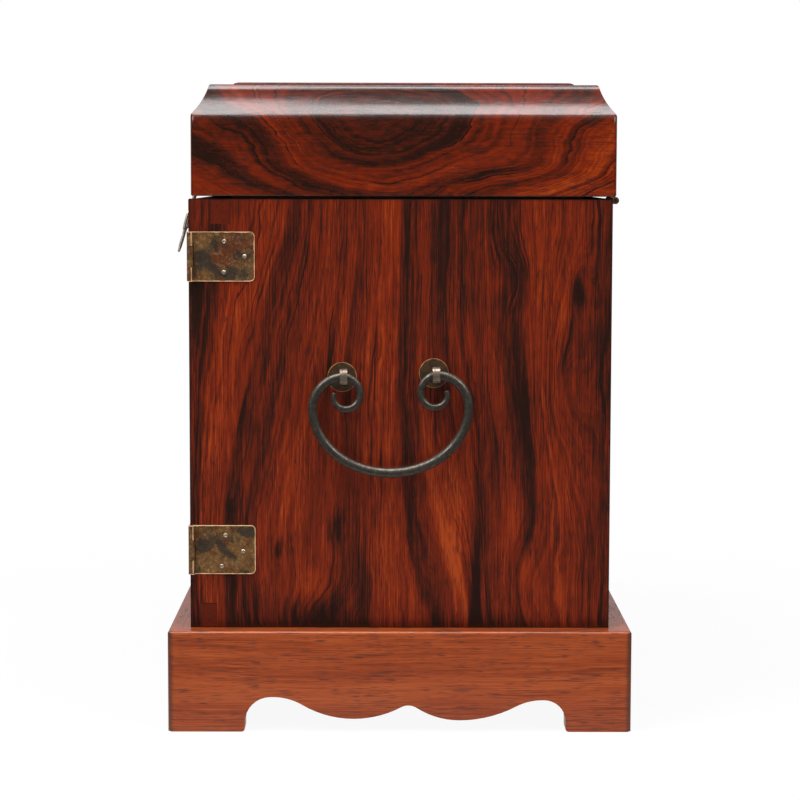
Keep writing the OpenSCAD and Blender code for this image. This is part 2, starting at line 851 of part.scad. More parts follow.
module pull_staple() {
    difference() {
        union() {
            translate([-1, 0, 0]) rotate([0, 90, 0]) cylinder(r = pull_eye, h = 2);
            translate([-1, 0, -1.2]) cube([2, pull_off, 2.4]);
        }
        translate([-2, 0, 0]) rotate([0, 90, 0]) cylinder(r = pull_hole, h = 4);
    }
}

module drop_pull(length, belly) {
    ear = [1.4, 3];
    translate([-ear[1], 0, 0]) rotate([0, 90, 0]) cylinder(r = pull_pin, h = 2 * ear[1]);
    rotate([90, 0, 0]) linear_extrude(1.6, center = true) {
        for (s = [0, 1]) mirror([s, 0])
            translate([ear[0], -pull_eye - 1.5]) square([ear[1] - ear[0], pull_eye + 1.5]);
        polygon([
            [-ear[1], -pull_eye - 0.7], [ear[1], -pull_eye - 0.7],
            [belly * 0.93, -length + belly * 1.36], [-belly * 0.93, -length + belly * 1.36]
        ]);
        translate([0, -length + belly]) circle(belly);
    }
}

module right_door_staples() {
    color(brass) translate([0, mid_y + front_y - plate_t, 0]) {
        translate([staple_x - 0.9, 0, staple_z]) rotate([90, 0, 90])
            linear_extrude(1.8) difference() {
                union() {
                    translate([-staple_out + plate_t + 3.5, 0]) circle(3.5);
                    translate([-staple_out + plate_t + 3.5, -3.5])
                        square([staple_out - plate_t - 3.5, 7]);
                }
                translate([-staple_out + plate_t + 3.5, 0]) circle(1.7);
                translate([-staple_out + plate_t + 3.5, -1.7]) square([2.4, 3.4]);
            }
        translate([pull_x, -pull_off, pull_z]) pull_staple();
    }
}

module left_door_staples() {
    mirror([1, 0, 0]) right_door_staples();
}

module right_door_pull() {
    color(brass) translate([pull_x, mid_y + front_y - plate_t - pull_off, pull_z])
        drop_pull(pull_l, 6);
}

module left_door_pull() {
    mirror([1, 0, 0]) right_door_pull();
}

// Side handles

// Middle line of half a handle, from the bottom up the side, over the pivot and
// round the scroll, as [across, up, radius of the rod].
shoulder_r = bail_reach - bail_half;
shoulder_z = -shoulder_r;
function bail_half_line() = concat(
    [for (i = [0 : 13]) let (a = 90 * i / 14)
        [bail_reach * sin(a), shoulder_z - (bail_drop + shoulder_z) * cos(a),
         rod_r[0] + (rod_r[1] - rod_r[0]) * pow(i / 14, 1.6) * 0.8]],
    [for (i = [0 : 8]) let (a = 90 * i / 9)
        [bail_half + shoulder_r * cos(a), shoulder_z + shoulder_r * sin(a),
         rod_r[0] + (rod_r[1] - rod_r[0]) * (0.8 + 0.2 * i / 9)]],
    [for (i = [0 : 22]) let (
        q = 3.2 * i / 22,
        a = 90 + 90 * q,
        r = scroll[0] - scroll[1] * q,
        thin = max(0, (q - 1.6) / 1.6)
    )
        [bail_half + r * cos(a), -scroll[0] + r * sin(a),
         i < 3 ? rod_r[1] + (rod_r[2] - rod_r[1]) * i / 3
               : rod_r[2] + (rod_r[3] - rod_r[2]) * thin]]
);

function bail_line() = let (half = bail_half_line()) concat(
    [for (p = reversed(half)) [-p[0], p[1], p[2]]],
    [for (i = [1 : len(half) - 1]) half[i]]
);

// A round rod along a line in the YZ plane, as one closed mesh.
module rod(line, sides = 14) {
    n = len(line);
    function tangent(i) = let (
        a = line[max(i - 1, 0)], b = line[min(i + 1, n - 1)], d = [b[0] - a[0], b[1] - a[1]]
    ) d / norm(d);
    points = [for (i = [0 : n - 1], k = [0 : sides - 1]) let (
        t = tangent(i), a = 360 * k / sides, p = line[i]
    ) [p[2] * cos(a), p[0] - p[2] * sin(a) * t[1], p[1] + p[2] * sin(a) * t[0]]];
    walls = [for (i = [0 : n - 2], k = [0 : sides - 1], h = [0, 1]) let (
        a = i * sides + k, b = i * sides + (k + 1) % sides
    ) h == 0 ? [a, b, b + sides] : [a, b + sides, a + sides]];
    caps = [for (k = [1 : sides - 2], e = [0, 1])
        e == 0 ? [0, k + 1, k] : [(n - 1) * sides, (n - 1) * sides + k, (n - 1) * sides + k + 1]];
    polyhedron(points, concat(walls, caps));
}

module right_handle() {
    color(iron) translate([0, mid_y, 0]) on_bail_line()
        translate([body_x + bail_off, 0, 0]) rod(bail_line());
}

module left_handle() {
    mirror([1, 0, 0]) right_handle();
}

module handle_escutcheons() {
    color(brass) translate([0, mid_y, 0]) for (s = [0, 1]) mirror([s, 0, 0])
        on_bail_line() difference() {
            for (e = [0, 1])
                translate([
                    body_x,
                    (2 * e - 1) * bail_half + rose_off[e][0],
                    rose_off[e][1]
                ]) rotate([0, 90, 0]) {
                    cylinder(r = rose_r, h = rose_t * 0.6);
                    cylinder(r1 = rose_r, r2 = rose_r - 0.4, h = rose_t);
                }
            staple_legs(rose_t + 1);
        }
}

module handle_staples() {
    eye_hole = rod_r[1] + 0.6;
    color(brass) translate([0, mid_y, 0]) for (s = [0, 1]) mirror([s, 0, 0])
        on_bail_line() difference() {
            union() {
                for (e = [-1, 1])
                    translate([body_x + bail_off, e * bail_half - eye_w / 2, 0])
                        rotate([-90, 0, 0]) cylinder(r = eye_hole + 1.3, h = eye_w);
                staple_legs(bail_off);
            }
            for (e = [-1, 1])
                translate([body_x + bail_off, e * bail_half - eye_w, 0])
                    rotate([-90, 0, 0]) cylinder(r = eye_hole, h = 2 * eye_w);
        }
}

// Drawers

full_bay = [-inner_x, inner_x];
left_bay = [-inner_x, -shelf_t / 2];
right_bay = [shelf_t / 2, inner_x];

module drawer_front(bay, z0, bay_h) {
    w = bay[1] - bay[0] - 2 * drawer_gap;
    color(wood) translate([bay[0] + drawer_gap, mid_y + drawer_y, z0 + drawer_under])
        cube([w, front_t, bay_h - drawer_under - drawer_gap]);
}

// Two sides, a back and a bottom, butted and held by the front.
module drawer_box(bay, z0, bay_h) {
    w = bay[1] - bay[0] - 2 * drawer_gap;
    y0 = drawer_y + front_t;
    l = inner_rear - 6 - y0;
    h = bay_h - drawer_gap - 6;
    between = w - 2 * (drawer_side_t + seam);
    low = z0 + drawer_under;
    color(inner_wood) translate([bay[0] + drawer_gap, mid_y + y0, low]) {
        for (x = [0, w - drawer_side_t])
            translate([x, 0, 0]) cube([drawer_side_t, l, h]);
        translate([drawer_side_t + seam, l - drawer_side_t, 0])
            cube([between, drawer_side_t, h]);
        translate([drawer_side_t + seam, 0, 2])
            cube([between, l - drawer_side_t - seam, drawer_floor_t]);
    }
}

function pull_at(bay, z0, bay_h) =
    [(bay[0] + bay[1]) / 2, mid_y + drawer_y - plate_t - pull_off, z0 + bay_h / 2 + 6];

module drawer_staple(bay, z0, bay_h) {
    color(brass) translate(pull_at(bay, z0, bay_h)) {
        pull_staple();
        translate([0, pull_off + plate_t, 0]) rotate([90, 0, 0])
            difference() {
                cylinder(r = 7, h = plate_t);
                translate([-1, -1.2, -1]) cube([2, 2.4, plate_t + 2]);
            }
    }
}

module drawer_drop(bay, z0, bay_h) {
    color(brass) translate(pull_at(bay, z0, bay_h)) drop_pull(drawer_pull_l, 3.4);
}

module top_left_drawer_front() { drawer_front(left_bay, floor_3, bay_top); }
module top_right_drawer_front() { drawer_front(right_bay, floor_3, bay_top); }
module middle_drawer_front() { drawer_front(full_bay, floor_2, bay_mid); }
module bottom_drawer_front() { drawer_front(full_bay, floor_1, bay_low); }
module top_left_drawer_box() { drawer_box(left_bay, floor_3, bay_top); }
module top_right_drawer_box() { drawer_box(right_bay, floor_3, bay_top); }
module middle_drawer_box() { drawer_box(full_bay, floor_2, bay_mid); }
module bottom_drawer_box() { drawer_box(full_bay, floor_1, bay_low); }
module top_left_pull_staple() { drawer_staple(left_bay, floor_3, bay_top); }
module top_right_pull_staple() { drawer_staple(right_bay, floor_3, bay_top); }
module middle_pull_staple() { drawer_staple(full_bay, floor_2, bay_mid); }
module bottom_pull_staple() { drawer_staple(full_bay, floor_1, bay_low); }
module top_left_drawer_pull() { drawer_drop(left_bay, floor_3, bay_top); }
module top_right_drawer_pull() { drawer_drop(right_bay, floor_3, bay_top); }
module middle_drawer_pull() { drawer_drop(full_bay, floor_2, bay_mid); }
module bottom_drawer_pull() { drawer_drop(full_bay, floor_1, bay_low); }

base_front_board();
base_rear_board();
base_left_board();
base_right_board();
base_corner_blocks();
left_side_panel();
right_side_panel();
back_panel();
bottom_board();
front_bottom_rail();
tray_front_rail();
tray_board();
upper_shelf();
lower_shelf();
upper_divider();
lid_locating_strips();
lid_front_board();
lid_rear_board();
lid_left_board();
lid_right_board();
lid_top_panel();
left_door();
right_door();
door_hinge_side_leaves();
door_hinge_pins();
left_hinge_door_leaves();
right_hinge_door_leaves();
lid_hinge_body_leaves();
lid_hinge_lid_leaves();
lid_hinge_pins();
lid_lock_plate();
hasp_pin();
hasp();
left_door_plates();
right_door_plates();
left_door_staples();
right_door_staples();
left_door_pull();
right_door_pull();
left_handle();
right_handle();
handle_escutcheons();
handle_staples();
top_left_drawer_front();
top_right_drawer_front();
middle_drawer_front();
bottom_drawer_front();
top_left_drawer_box();
top_right_drawer_box();
middle_drawer_box();
bottom_drawer_box();
top_left_pull_staple();
top_right_pull_staple();
middle_pull_staple();
bottom_pull_staple();
top_left_drawer_pull();
top_right_drawer_pull();
middle_drawer_pull();
bottom_drawer_pull();
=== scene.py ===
"""Looks of the seal chest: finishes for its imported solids, and the nails, rods and
light that they do not hold. Lengths in the classes are millimetres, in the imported
frame: +X towards the camera's side, -Y towards the doors, +Z up."""

import logging
import math
from collections.abc import Callable
from dataclasses import dataclass, replace
from enum import Enum

import bpy
from mathutils import Matrix, Vector


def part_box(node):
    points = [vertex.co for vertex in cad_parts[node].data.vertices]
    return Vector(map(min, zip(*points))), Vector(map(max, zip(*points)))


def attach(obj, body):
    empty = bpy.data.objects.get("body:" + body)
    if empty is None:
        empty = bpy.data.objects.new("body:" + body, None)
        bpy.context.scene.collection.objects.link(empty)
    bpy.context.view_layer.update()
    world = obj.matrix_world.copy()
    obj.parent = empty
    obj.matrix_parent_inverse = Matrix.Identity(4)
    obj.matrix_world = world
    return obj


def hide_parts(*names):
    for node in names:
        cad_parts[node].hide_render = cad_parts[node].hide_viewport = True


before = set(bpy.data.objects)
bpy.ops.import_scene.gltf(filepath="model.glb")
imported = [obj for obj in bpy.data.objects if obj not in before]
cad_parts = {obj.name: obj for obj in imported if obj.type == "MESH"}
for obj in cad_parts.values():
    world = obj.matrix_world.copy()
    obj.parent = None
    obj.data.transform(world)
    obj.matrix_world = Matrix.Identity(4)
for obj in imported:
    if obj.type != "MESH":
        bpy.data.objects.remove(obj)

LOG = logging.getLogger("seal_chest")
# A millimetre in metres, and a metre in millimetres.
MM = 0.001
METRE = 1000.0
# A colour ramp holds 32 stops; a longer line is shared out over ramps of 30.
RAMP_STOPS = 30
# Round an eye: half height of its rings, how far out the outer ones begin to rise and
# how steeply, and how far out they are stretched to twice their length.
EYE_HEIGHT = 24.0
EYE_BEND = 40.0
EYE_SLOPE = 0.3
EYE_STRETCH = 300.0
Colour = tuple[float, float, float, float]
Pairs = tuple[tuple[float, float], ...]


def paint(red: float, green: float, blue: float) -> Colour:
    """Return a shader colour for a screen colour of 0 to 255 in each part."""
    parts = []
    for level in (red, green, blue):
        share = level / 255
        low = share / 12.92
        high = ((share + 0.055) / 1.055) ** 2.4
        parts.append(low if share <= 0.04045 else high)
    return (parts[0], parts[1], parts[2], 1.0)


class Value:
    """A number that varies over a surface; Python's operators add Math nodes to it."""

    def __init__(self, web: "Web", socket: bpy.types.NodeSocket) -> None:
        """Wrap a socket of the web."""
        self.web = web
        self.socket = socket

    def math(self, operation: str, *others: "Value | float") -> "Value":
        """Return the result of a Math node.

        Args:
            operation: the Math node's operation.
            others: its second and third operands.

        Returns:
            The node's output.
        """
        links = {0: self}
        for index, other in enumerate(others):
            links[index + 1] = other
        node = self.web.node("ShaderNodeMath", {"operation": operation}, links)
        return Value(self.web, node.outputs[0])

    def __add__(self, other: "Value | float") -> "Value":
        """Return the sum."""
        return self.math("ADD", other)

    def __radd__(self, other: float) -> "Value":
        """Return the sum."""
        return self.math("ADD", other)

    def __sub__(self, other: "Value | float") -> "Value":
        """Return the difference."""
        return self.math("SUBTRACT", other)

    def __rsub__(self, other: float) -> "Value":
        """Return other minus this."""
        return self.math("MULTIPLY_ADD", -1.0, other)

    def __mul__(self, other: "Value | float") -> "Value":
        """Return the product."""
        return self.math("MULTIPLY", other)

    def __rmul__(self, other: float) -> "Value":
        """Return the product."""
        return self.math("MULTIPLY", other)

    def __truediv__(self, other: "Value | float") -> "Value":
        """Return the quotient."""
        return self.math("DIVIDE", other)

    def smaller(self, other: "Value | float") -> "Value":
        """Return the smaller of the two."""
        return self.math("MINIMUM", other)

    def larger(self, other: "Value | float") -> "Value":
        """Return the larger of the two."""
        return self.math("MAXIMUM", other)

    def size(self) -> "Value":
        """Return the value without its sign."""
        return self.math("ABSOLUTE")

    def hypot(self, other: "Value | float") -> "Value":
        """Return the length of the vector made of the two."""
        return (self * self + other * other).math("SQRT")

    def bell(self, other: "Value") -> "Value":
        """Return a bell that is 1 where both are 0 and fades all round."""
        return ((self * self + other * other) * -1.0).math("EXPONENT")

    def between(self, low: float, high: float) -> "Value":
        """Return a smooth rise from 0 at low to 1 at high; low may be the larger."""
        node = self.web.node(
            "ShaderNodeMapRange",
            {"interpolation_type": "SMOOTHSTEP"},
            {"Value": self, "From Min": low, "From Max": high},
        )
        return Value(self.web, node.outputs["Result"])

    def clamped(self, low: float = 0.0, high: float = 1.0) -> "Value":
        """Return the value held between two limits."""
        return self.larger(low).smaller(high)


class Web:
    """The nodes of one material, or of the studio's surroundings."""

    def __init__(self, owner: bpy.types.Material | bpy.types.World) -> None:
        """Start with the owner's nodes taken out."""
        self.owner = owner
        owner.use_nodes = True
        self.tree = owner.node_tree
        self.tree.nodes.clear()

    def node(
        self,
        kind: str,
        settings: dict[str, object] | None = None,
        links: dict[object, object] | None = None,
    ) -> bpy.types.Node:
        """Add a node, with its settings first and its sockets after them.

        Args:
            kind: the node's type.
            settings: its own properties; stops are those of a colour ramp.
            links: for each input, a value, a socket or a plain number or colour.

        Returns:
            The new node.
        """
        node = self.tree.nodes.new(kind)
        for name, setting in (settings or {}).items():
            if name == "stops":
                self._set_stops(node.color_ramp, setting)
            else:
                setattr(node, name, setting)
        for name, link in (links or {}).items():
            source = link.socket if isinstance(link, Value) else link
            if isinstance(source, bpy.types.NodeSocket):
                self.tree.links.new(source, node.inputs[name])
            else:
                node.inputs[name].default_value = source
        return node

    @staticmethod
    def _set_stops(ramp: bpy.types.ColorRamp, stops: list[tuple[float, Colour]]) -> None:
        """Give a colour ramp these stops."""
        while len(ramp.elements) < len(stops):
            ramp.elements.new(1.0)
        for element, (place, colour) in zip(ramp.elements, stops):
            element.position = place
            element.color = colour

    def position(self) -> tuple[Value, Value, Value]:
        """Return the surface's x, y and z in millimetres."""
        place = self.node("ShaderNodeTexCoord").outputs["Object"]
        parts = self.node("ShaderNodeSeparateXYZ", None, {0: place}).outputs
        x, y, z = (Value(self, part) * METRE for part in parts)
        return x, y, z

    def rays(self) -> tuple[Value, Value]:
        """Return whether a ray comes straight or through glass, and whether off gloss."""
        path = self.node("ShaderNodeLightPath").outputs
        glass = Value(self, path["Is Transmission Ray"])
        return Value(self, path["Is Camera Ray"]).larger(glass), Value(self, path["Is Glossy Ray"])

    def noise(
        self, x: Value, y: Value, z: Value, detail: float, rough: float = 0.5
    ) -> Value:
        """Return a noise around zero, mostly within half either way.

        Args:
            x: first coordinate, in cells of the noise.
            y: second coordinate.
            z: third coordinate.
            detail: number of finer layers.
            rough: strength of each finer layer.

        Returns:
            The noise.
        """
        place = self.node("ShaderNodeCombineXYZ", None, {0: x, 1: y, 2: z}).outputs[0]
        links = {"Vector": place, "Scale": 1.0, "Detail": detail, "Roughness": rough}
        node = self.node("ShaderNodeTexNoise", {"noise_dimensions": "3D"}, links)
        return (Value(self, node.outputs[0]) - 0.5) * 2.0

    def curve(self, value: Value, points: Pairs) -> Value:
        """Return the level of a line that is drawn through points.

        Args:
            value: place along the line.
            points: places and levels, shared out over ramps, which hold few stops.

        Returns:
            The level, held beyond both ends.
        """
        level = None
        for start in range(0, len(points) - 1, RAMP_STOPS - 1):
            part = points[start : start + RAMP_STOPS]
            low = part[0][0]
            length = part[-1][0] - low
            stops = [((g - low) / length, (t, t, t, 1.0)) for g, t in part]
            piece = Value(self, self.ramp((value - low) / length, stops))
            level = piece if level is None else level + piece - part[0][1]
        return level

    def ramp(self, value: Value, stops: list[tuple[float, Colour]]) -> bpy.types.NodeSocket:
        """Return the colour of a value along a ramp."""
        return self.node("ShaderNodeValToRGB", {"stops": stops}, {0: value}).outputs[0]

    def mix(self, share: Value | float, first: object, second: object) -> bpy.types.NodeSocket:
        """Return a colour between the first and the second."""
        links = {0: share, 6: first, 7: second}
        return self.node("ShaderNodeMix", {"data_type": "RGBA"}, links).outputs[2]

    def finish(self, sockets: dict[str, object], height: Value | None, depth: float) -> None:
        """Close the material with its shader.

        Args:
            sockets: inputs of the shader.
            height: relief of the surface, from 0 to 1, or nothing.
            depth: height of that relief in millimetres.
        """
        shader = self.node("ShaderNodeBsdfPrincipled", None, sockets)
        if height is not None:
            links = {"Height": height, "Distance": depth * MM, "Strength": 1.0}
            bump = self.node("ShaderNodeBump", None, links)
            self.tree.links.new(bump.outputs[0], shader.inputs["Normal"])
        self.node("ShaderNodeOutputMaterial", None, {0: shader.outputs[0]})


def dress(node: str, material: bpy.types.Material) -> None:
    """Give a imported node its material."""
    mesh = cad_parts[node].data
    mesh.materials.clear()
    mesh.materials.append(material)
    LOG.info("%s: %s", node, material.name)


class Axis(Enum):
    """An axis of the chest's frame."""

    X = 0
    Y = 1
    Z = 2


@dataclass(frozen=True)
class Swell:
    """A place where the growth rings bulge, such as a knot, or are stained, or are darkened as
    painted shade.

    A push that is larger than about half of r_across closes the rings into an eye.
    """

    along: float
    across: float
    r_along: float
    r_across: float
    push: float = 0.0
    tone: float = 0.0


@dataclass(frozen=True)
class Ease:
    """An arris that years of polishing have softened: its height, how far below and
    above it the polish leans outwards, and how steeply."""

    z: float
    below: float
    above: float
    slope: float

    def relief(self, height: Value) -> Value:
        """Return the surface's height in millimetres that gives the lean."""
        rise = (height - (self.z - self.below)).clamped(0.0, self.below)
        fall = (height - self.z).clamped(0.0, self.above)
        slope = self.slope
        lower = rise * rise * (-0.5 * slope / self.below)
        return lower - fall * slope + fall * fall * (0.5 * slope / self.above)


@dataclass(frozen=True)
class Cut:
    """How a board was cut from the log, seen on its show face.

    Round an eye the rings are ellipses whose half axes are eye_reach and EYE_HEIGHT. A
    top or foot that is left bare is rough and uncoated, and its colour is darkened as
    painted shade, since it is seen only in the gap between parts. A board that shows its
    ends has end_tone there. Curly wood has a small fibre_share, and curl is the length of
    its mottles.
    Where only the corners are worn, the other arrises keep their colour.
    """

    along: Axis
    across: Axis
    middle: tuple[float, float, float] = (0.0, 0.0, 0.0)
    lean: float = 0.7
    seed: float = 0.0
    wobble: tuple[float, float] = (46.0, 13.0)
    swells: tuple[Swell, ...] = ()
    bands: Pairs = ()
    eye_reach: float = 0.0
    bare_shaded_top: bool = False
    bare_shaded_foot: bool = False
    end_tone: float | None = None
    fibre_share: float = 1.0
    curl: float = 17.0
    worn_corners: bool = False
    eased: tuple[Ease, ...] = ()

    def depth(self) -> Axis:
        """Return the axis that the board's thickness lies on."""
        return Axis(3 - self.along.value - self.across.value)


@dataclass(frozen=True)
class Timber:
    """A species of wood with its polish.

    Streak, line, vein, fibre and mottle say how much each changes the tone. Noises are
    given the size of their cells, in millimetres across and along the grain.
    """

    name: str
    tones: tuple[tuple[float, Colour], ...]
    pore_and_shade_colour: Colour
    arris_colour: Colour
    streak: float
    line: float
    vein: float
    fibre: float
    mottle: float
    pore: float
    pore_size: tuple[float, float]
    arris: float
    edge_mark: float
    ior: float
    roughness: float
    coat: float
    coat_roughness: float
    bump: float

    def material(self, node: str, cut: Cut) -> bpy.types.Material:
        """Make the material of one board.

        Args:
            node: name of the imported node, whose box gives the arrises.
            cut: how the board lies in the log.

        Returns:
            The material.
        """
        web = Web(bpy.data.materials.new(f"{self.name}_{node}"))
        place = web.position()
        middle = cut.middle
        along = place[cut.along.value] - middle[cut.along.value]
        depth = place[cut.depth().value] - middle[cut.depth().value]
        across = place[cut.across.value] - middle[cut.across.value] + depth * cut.lean
        rings, stain_and_shade = self._rings(web, along, across, cut)
        # Real stains and the painted shade of some swells both darken the tone here.
        tone = self._tone(web, along, rings, depth, cut) + stain_and_shade
        fibre = web.noise(across / 0.6, along / 46.0 + cut.seed, depth / 3.0, 1.0, 0.7)
        cloud = web.noise(across / 3.4, along / cut.curl, depth / 9.0, 3.0, 0.68)
        tone = tone + fibre * (self.fibre * cut.fibre_share) + cloud * self.mottle
        if cut.end_tone is not None:
            low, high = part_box(node)
            half = (high[cut.along.value] - low[cut.along.value]) / 2 / MM
            ends = along.size().between(half - 0.9, half - 0.4)
            tone = tone + ends * (cut.end_tone - tone)
        colour = web.ramp(tone.clamped(), list(self.tones))
        pores = self._pores(web, along, across, depth)
        colour = web.mix(pores * self.pore, colour, self.pore_and_shade_colour)
        arris = self._arris_distance(node, place, cut)
        worn = web.noise(along / 9.0, across / 3.0, depth / 3.0, 2.0)
        edge = (arris + worn * 0.5).between(self.arris, 0.1)
        colour = web.mix(edge * self.edge_mark, colour, self.arris_colour)
        sheen = web.noise(along / 30.0, across / 12.0, depth / 12.0, 2.0)
        rough = sheen * 0.05 + pores * 0.12 + self.roughness
        relief = fibre * 0.2 - pores * 0.8
        for ease in cut.eased:
            relief = relief + ease.relief(place[Axis.Z.value]) * (1 / self.bump)
        sockets = {
            "IOR": self.ior,
            "Coat Weight": self.coat,
            "Coat Roughness": self.coat_roughness,
            "Coat IOR": 1.5,
        }
        bare_and_shaded = self._bare_and_shaded(node, place[Axis.Z.value], cut)
        if bare_and_shaded is not None:
            # Painted shade: the bare top or foot, seen only in the gap between parts, takes the
            # dark pore colour.
            colour = web.mix(bare_and_shaded * 0.8, colour, self.pore_and_shade_colour)
            rough = rough.larger(bare_and_shaded)
            sawn = web.noise(along / 0.35, across / 0.35, depth / 0.35, 2.0)
            relief = relief + bare_and_shaded * sawn * 14.0
            sockets["Coat Weight"] = (1.0 - bare_and_shaded) * self.coat
        sockets["Base Color"] = colour
        sockets["Roughness"] = rough
        web.finish(sockets, relief, self.bump)
        return web.owner

    def dress(self, node: str, cut: Cut) -> None:
        """Give a packed board its material."""
        dress(node, self.material(node, cut))

    def _pores(self, web: Web, along: Value, across: Value, depth: Value) -> Value:
        """Return where the open pores lie, as short dark dashes in loose clusters."""
        wide, long = self.pore_size
        fine = web.noise(across / wide, along / long, depth / 1.5, 1.0)
        broad = web.noise(across / (1.9 * wide) + 5.0, along / (2.4 * long), depth / 3.0, 1.0)
        crowd = web.noise(across / 9.0, along / 34.0, depth / 20.0, 1.0)
        dashes = (fine + crowd * 0.3).between(0.15, 0.42)
        return dashes.larger((broad + crowd * 0.35).between(0.22, 0.5) * 0.8)

    @staticmethod
    def _bare_and_shaded(node: str, height: Value, cut: Cut) -> Value | None:
        """Return where the board's top or foot is bare and darkened as painted shade."""
        low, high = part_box(node)
        if cut.bare_shaded_top:
            return height.between(high.z / MM - 0.4, high.z / MM - 0.1)
        if cut.bare_shaded_foot:
            return height.between(low.z / MM + 0.4, low.z / MM + 0.1)
        return None

    @staticmethod
    def _rings(web: Web, along: Value, across: Value, cut: Cut) -> tuple[Value, Value]:
        """Return the coordinate that grows from ring to ring, and the stain with any painted
        shade.
        """
        seed = cut.seed
        wide = web.noise(across / 95.0 + seed, along / 260.0 + seed, along / 900.0, 1.5)
        close = web.noise(across / 26.0 - seed, along / 80.0 + seed, along / 400.0, 2.0)
        small = web.noise(across / 5.0, along / 16.0 + seed, along / 90.0, 2.0)
        rings = across
        if cut.eye_reach:
            flat = along / (along.size() / EYE_STRETCH + 1.0)
            raised = across - (along.hypot(EYE_BEND) - EYE_BEND) * EYE_SLOPE
            rings = (flat * (EYE_HEIGHT / cut.eye_reach)).hypot(raised)
        rings = rings + wide * cut.wobble[0] + close * cut.wobble[1] + small * 1.3
        stain_and_shade = small * 0.05 + close * 0.14
        for swell in cut.swells:
            u = (along - swell.along) / swell.r_along
            v = (across - swell.across) / swell.r_across
            bell = u.bell(v)
            if swell.push:
                rings = rings + bell * swell.push
            if swell.tone:
                stain_and_shade = stain_and_shade + bell * swell.tone
        return rings, stain_and_shade

    def _tone(self, web: Web, along: Value, rings: Value, depth: Value, cut: Cut) -> Value:
        """Return how light the wood is, from 0 to 1, before fibres and stains."""
        seed = cut.seed
        wide = web.noise(rings / 17.0 + seed, along / 600.0 + seed, depth / 90.0, 3.0, 0.55)
        fine = web.noise(rings / 2.0 + seed, along / 150.0 - seed, depth / 60.0, 3.0, 0.72)
        seam = web.noise(rings / 4.4 - seed, along / 420.0 + seed, depth / 70.0, 1.0)
        fade = web.noise(rings / 12.0, along / 60.0 + seed, depth / 70.0, 1.0)
        vein = seam.size().between(0.075, 0.0) * fade.between(-0.12, 0.22)
        tone = wide * self.streak + 0.5
        if cut.bands:
            force = web.noise(rings / 24.0 - seed, along / 85.0 + seed, depth / 90.0, 2.0)
            bold = (force * 1.2 + 0.78).clamped(0.3, 1.05)
            bands = (web.curve(rings, cut.bands) - 0.44) * bold + 0.44
            tone = bands + wide * (self.streak * 0.3)
        detail = fine * self.line - vein * self.vein
        if cut.eye_reach:
            detail = detail * rings.between(2.0, 22.0)
        return tone + detail

    @staticmethod
    def _arris_distance(node: str, place: tuple[Value, Value, Value], cut: Cut) -> Value:
        """Return the distance from the nearest outer edge of the board's box."""
        low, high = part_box(node)
        gaps = []
        for index in range(3):
            centre = (low[index] + high[index]) / 2 / MM
            half = (high[index] - low[index]) / 2 / MM
            gaps.append(half - (place[index] - centre).size())
        first = gaps[0].larger(gaps[1])
        if cut.worn_corners:
            return first
        second = gaps[1].larger(gaps[2])
        third = gaps[0].larger(gaps[2])
        return first.smaller(second).smaller(third)


ROSEWOOD = Timber(
    name="rosewood",
    tones=(
        (0.0, paint(38, 18, 12)),
        (0.14, paint(53, 21, 12)),
        (0.3, paint(78, 25, 10)),
        (0.48, paint(100, 29, 8)),
        (0.66, paint(117, 35, 7)),
        (0.84, paint(134, 45, 9)),
        (1.0, paint(154, 60, 16)),
    ),
    pore_and_shade_colour=paint(34, 18, 13),
    arris_colour=paint(42, 22, 16),
    streak=0.62,
    line=0.5,
    vein=0.44,
    fibre=0.5,
    mottle=0.34,
    pore=0.62,
    pore_size=(0.55, 9.0),
    arris=1.1,
    edge_mark=0.6,
    ior=1.18,
    roughness=0.42,
    coat=0.75,
    coat_roughness=0.15,
    bump=0.02,
)
LID_ROSEWOOD = replace(
    ROSEWOOD, name="lid_rosewood", ior=1.5, roughness=0.19, coat=0.0, bump=0.006
)
PLINTH_WOOD = Timber(
    name="plinth_wood",
    tones=(
        (0.0, paint(96, 40, 20)),
        (0.25, paint(128, 53, 22)),
        (0.5, paint(149, 66, 28)),
        (0.75, paint(161, 76, 34)),
        (1.0, paint(174, 90, 46)),
    ),
    pore_and_shade_colour=paint(82, 44, 34),
    arris_colour=paint(74, 46, 36),
    streak=0.5,
    line=0.36,
    vein=0.2,
    fibre=0.5,
    mottle=0.12,
    pore=0.85,
    pore_size=(0.5, 10.0),
    arris=3.2,
    edge_mark=0.8,
    ior=1.18,
    roughness=0.42,
    coat=0.6,
    coat_roughness=0.18,
    bump=0.03,
)
CAMPHOR = Timber(
    name="camphor",
    tones=(
        (0.0, paint(96, 62, 38)),
        (0.5, paint(146, 102, 64)),
        (1.0, paint(182, 138, 92)),
    ),
    pore_and_shade_colour=paint(84, 54, 34),
    arris_colour=paint(96, 64, 42),
    streak=0.4,
    line=0.3,
    vein=0.2,
    fibre=0.2,
    mottle=0.1,
    pore=0.5,
    pore_size=(0.7, 7.0),
    arris=0.9,
    edge_mark=0.5,
    ior=1.3,
    roughness=0.55,
    coat=0.0,
    coat_roughness=0.4,
    bump=0.04,
)

# A rim gives the distance from an edge that carries a painted highlight.
Rim = Callable[[Value, Value, Value], Value]


@dataclass(frozen=True)
class Blot:
    """A stain on a sheet of metal: its middle, half sizes and lean, how much darker it
    is and how much redder."""

    y: float
    z: float
    half_y: float
    half_z: float
    lean: float
    dark: float = 0.0
    red: float = 0.0


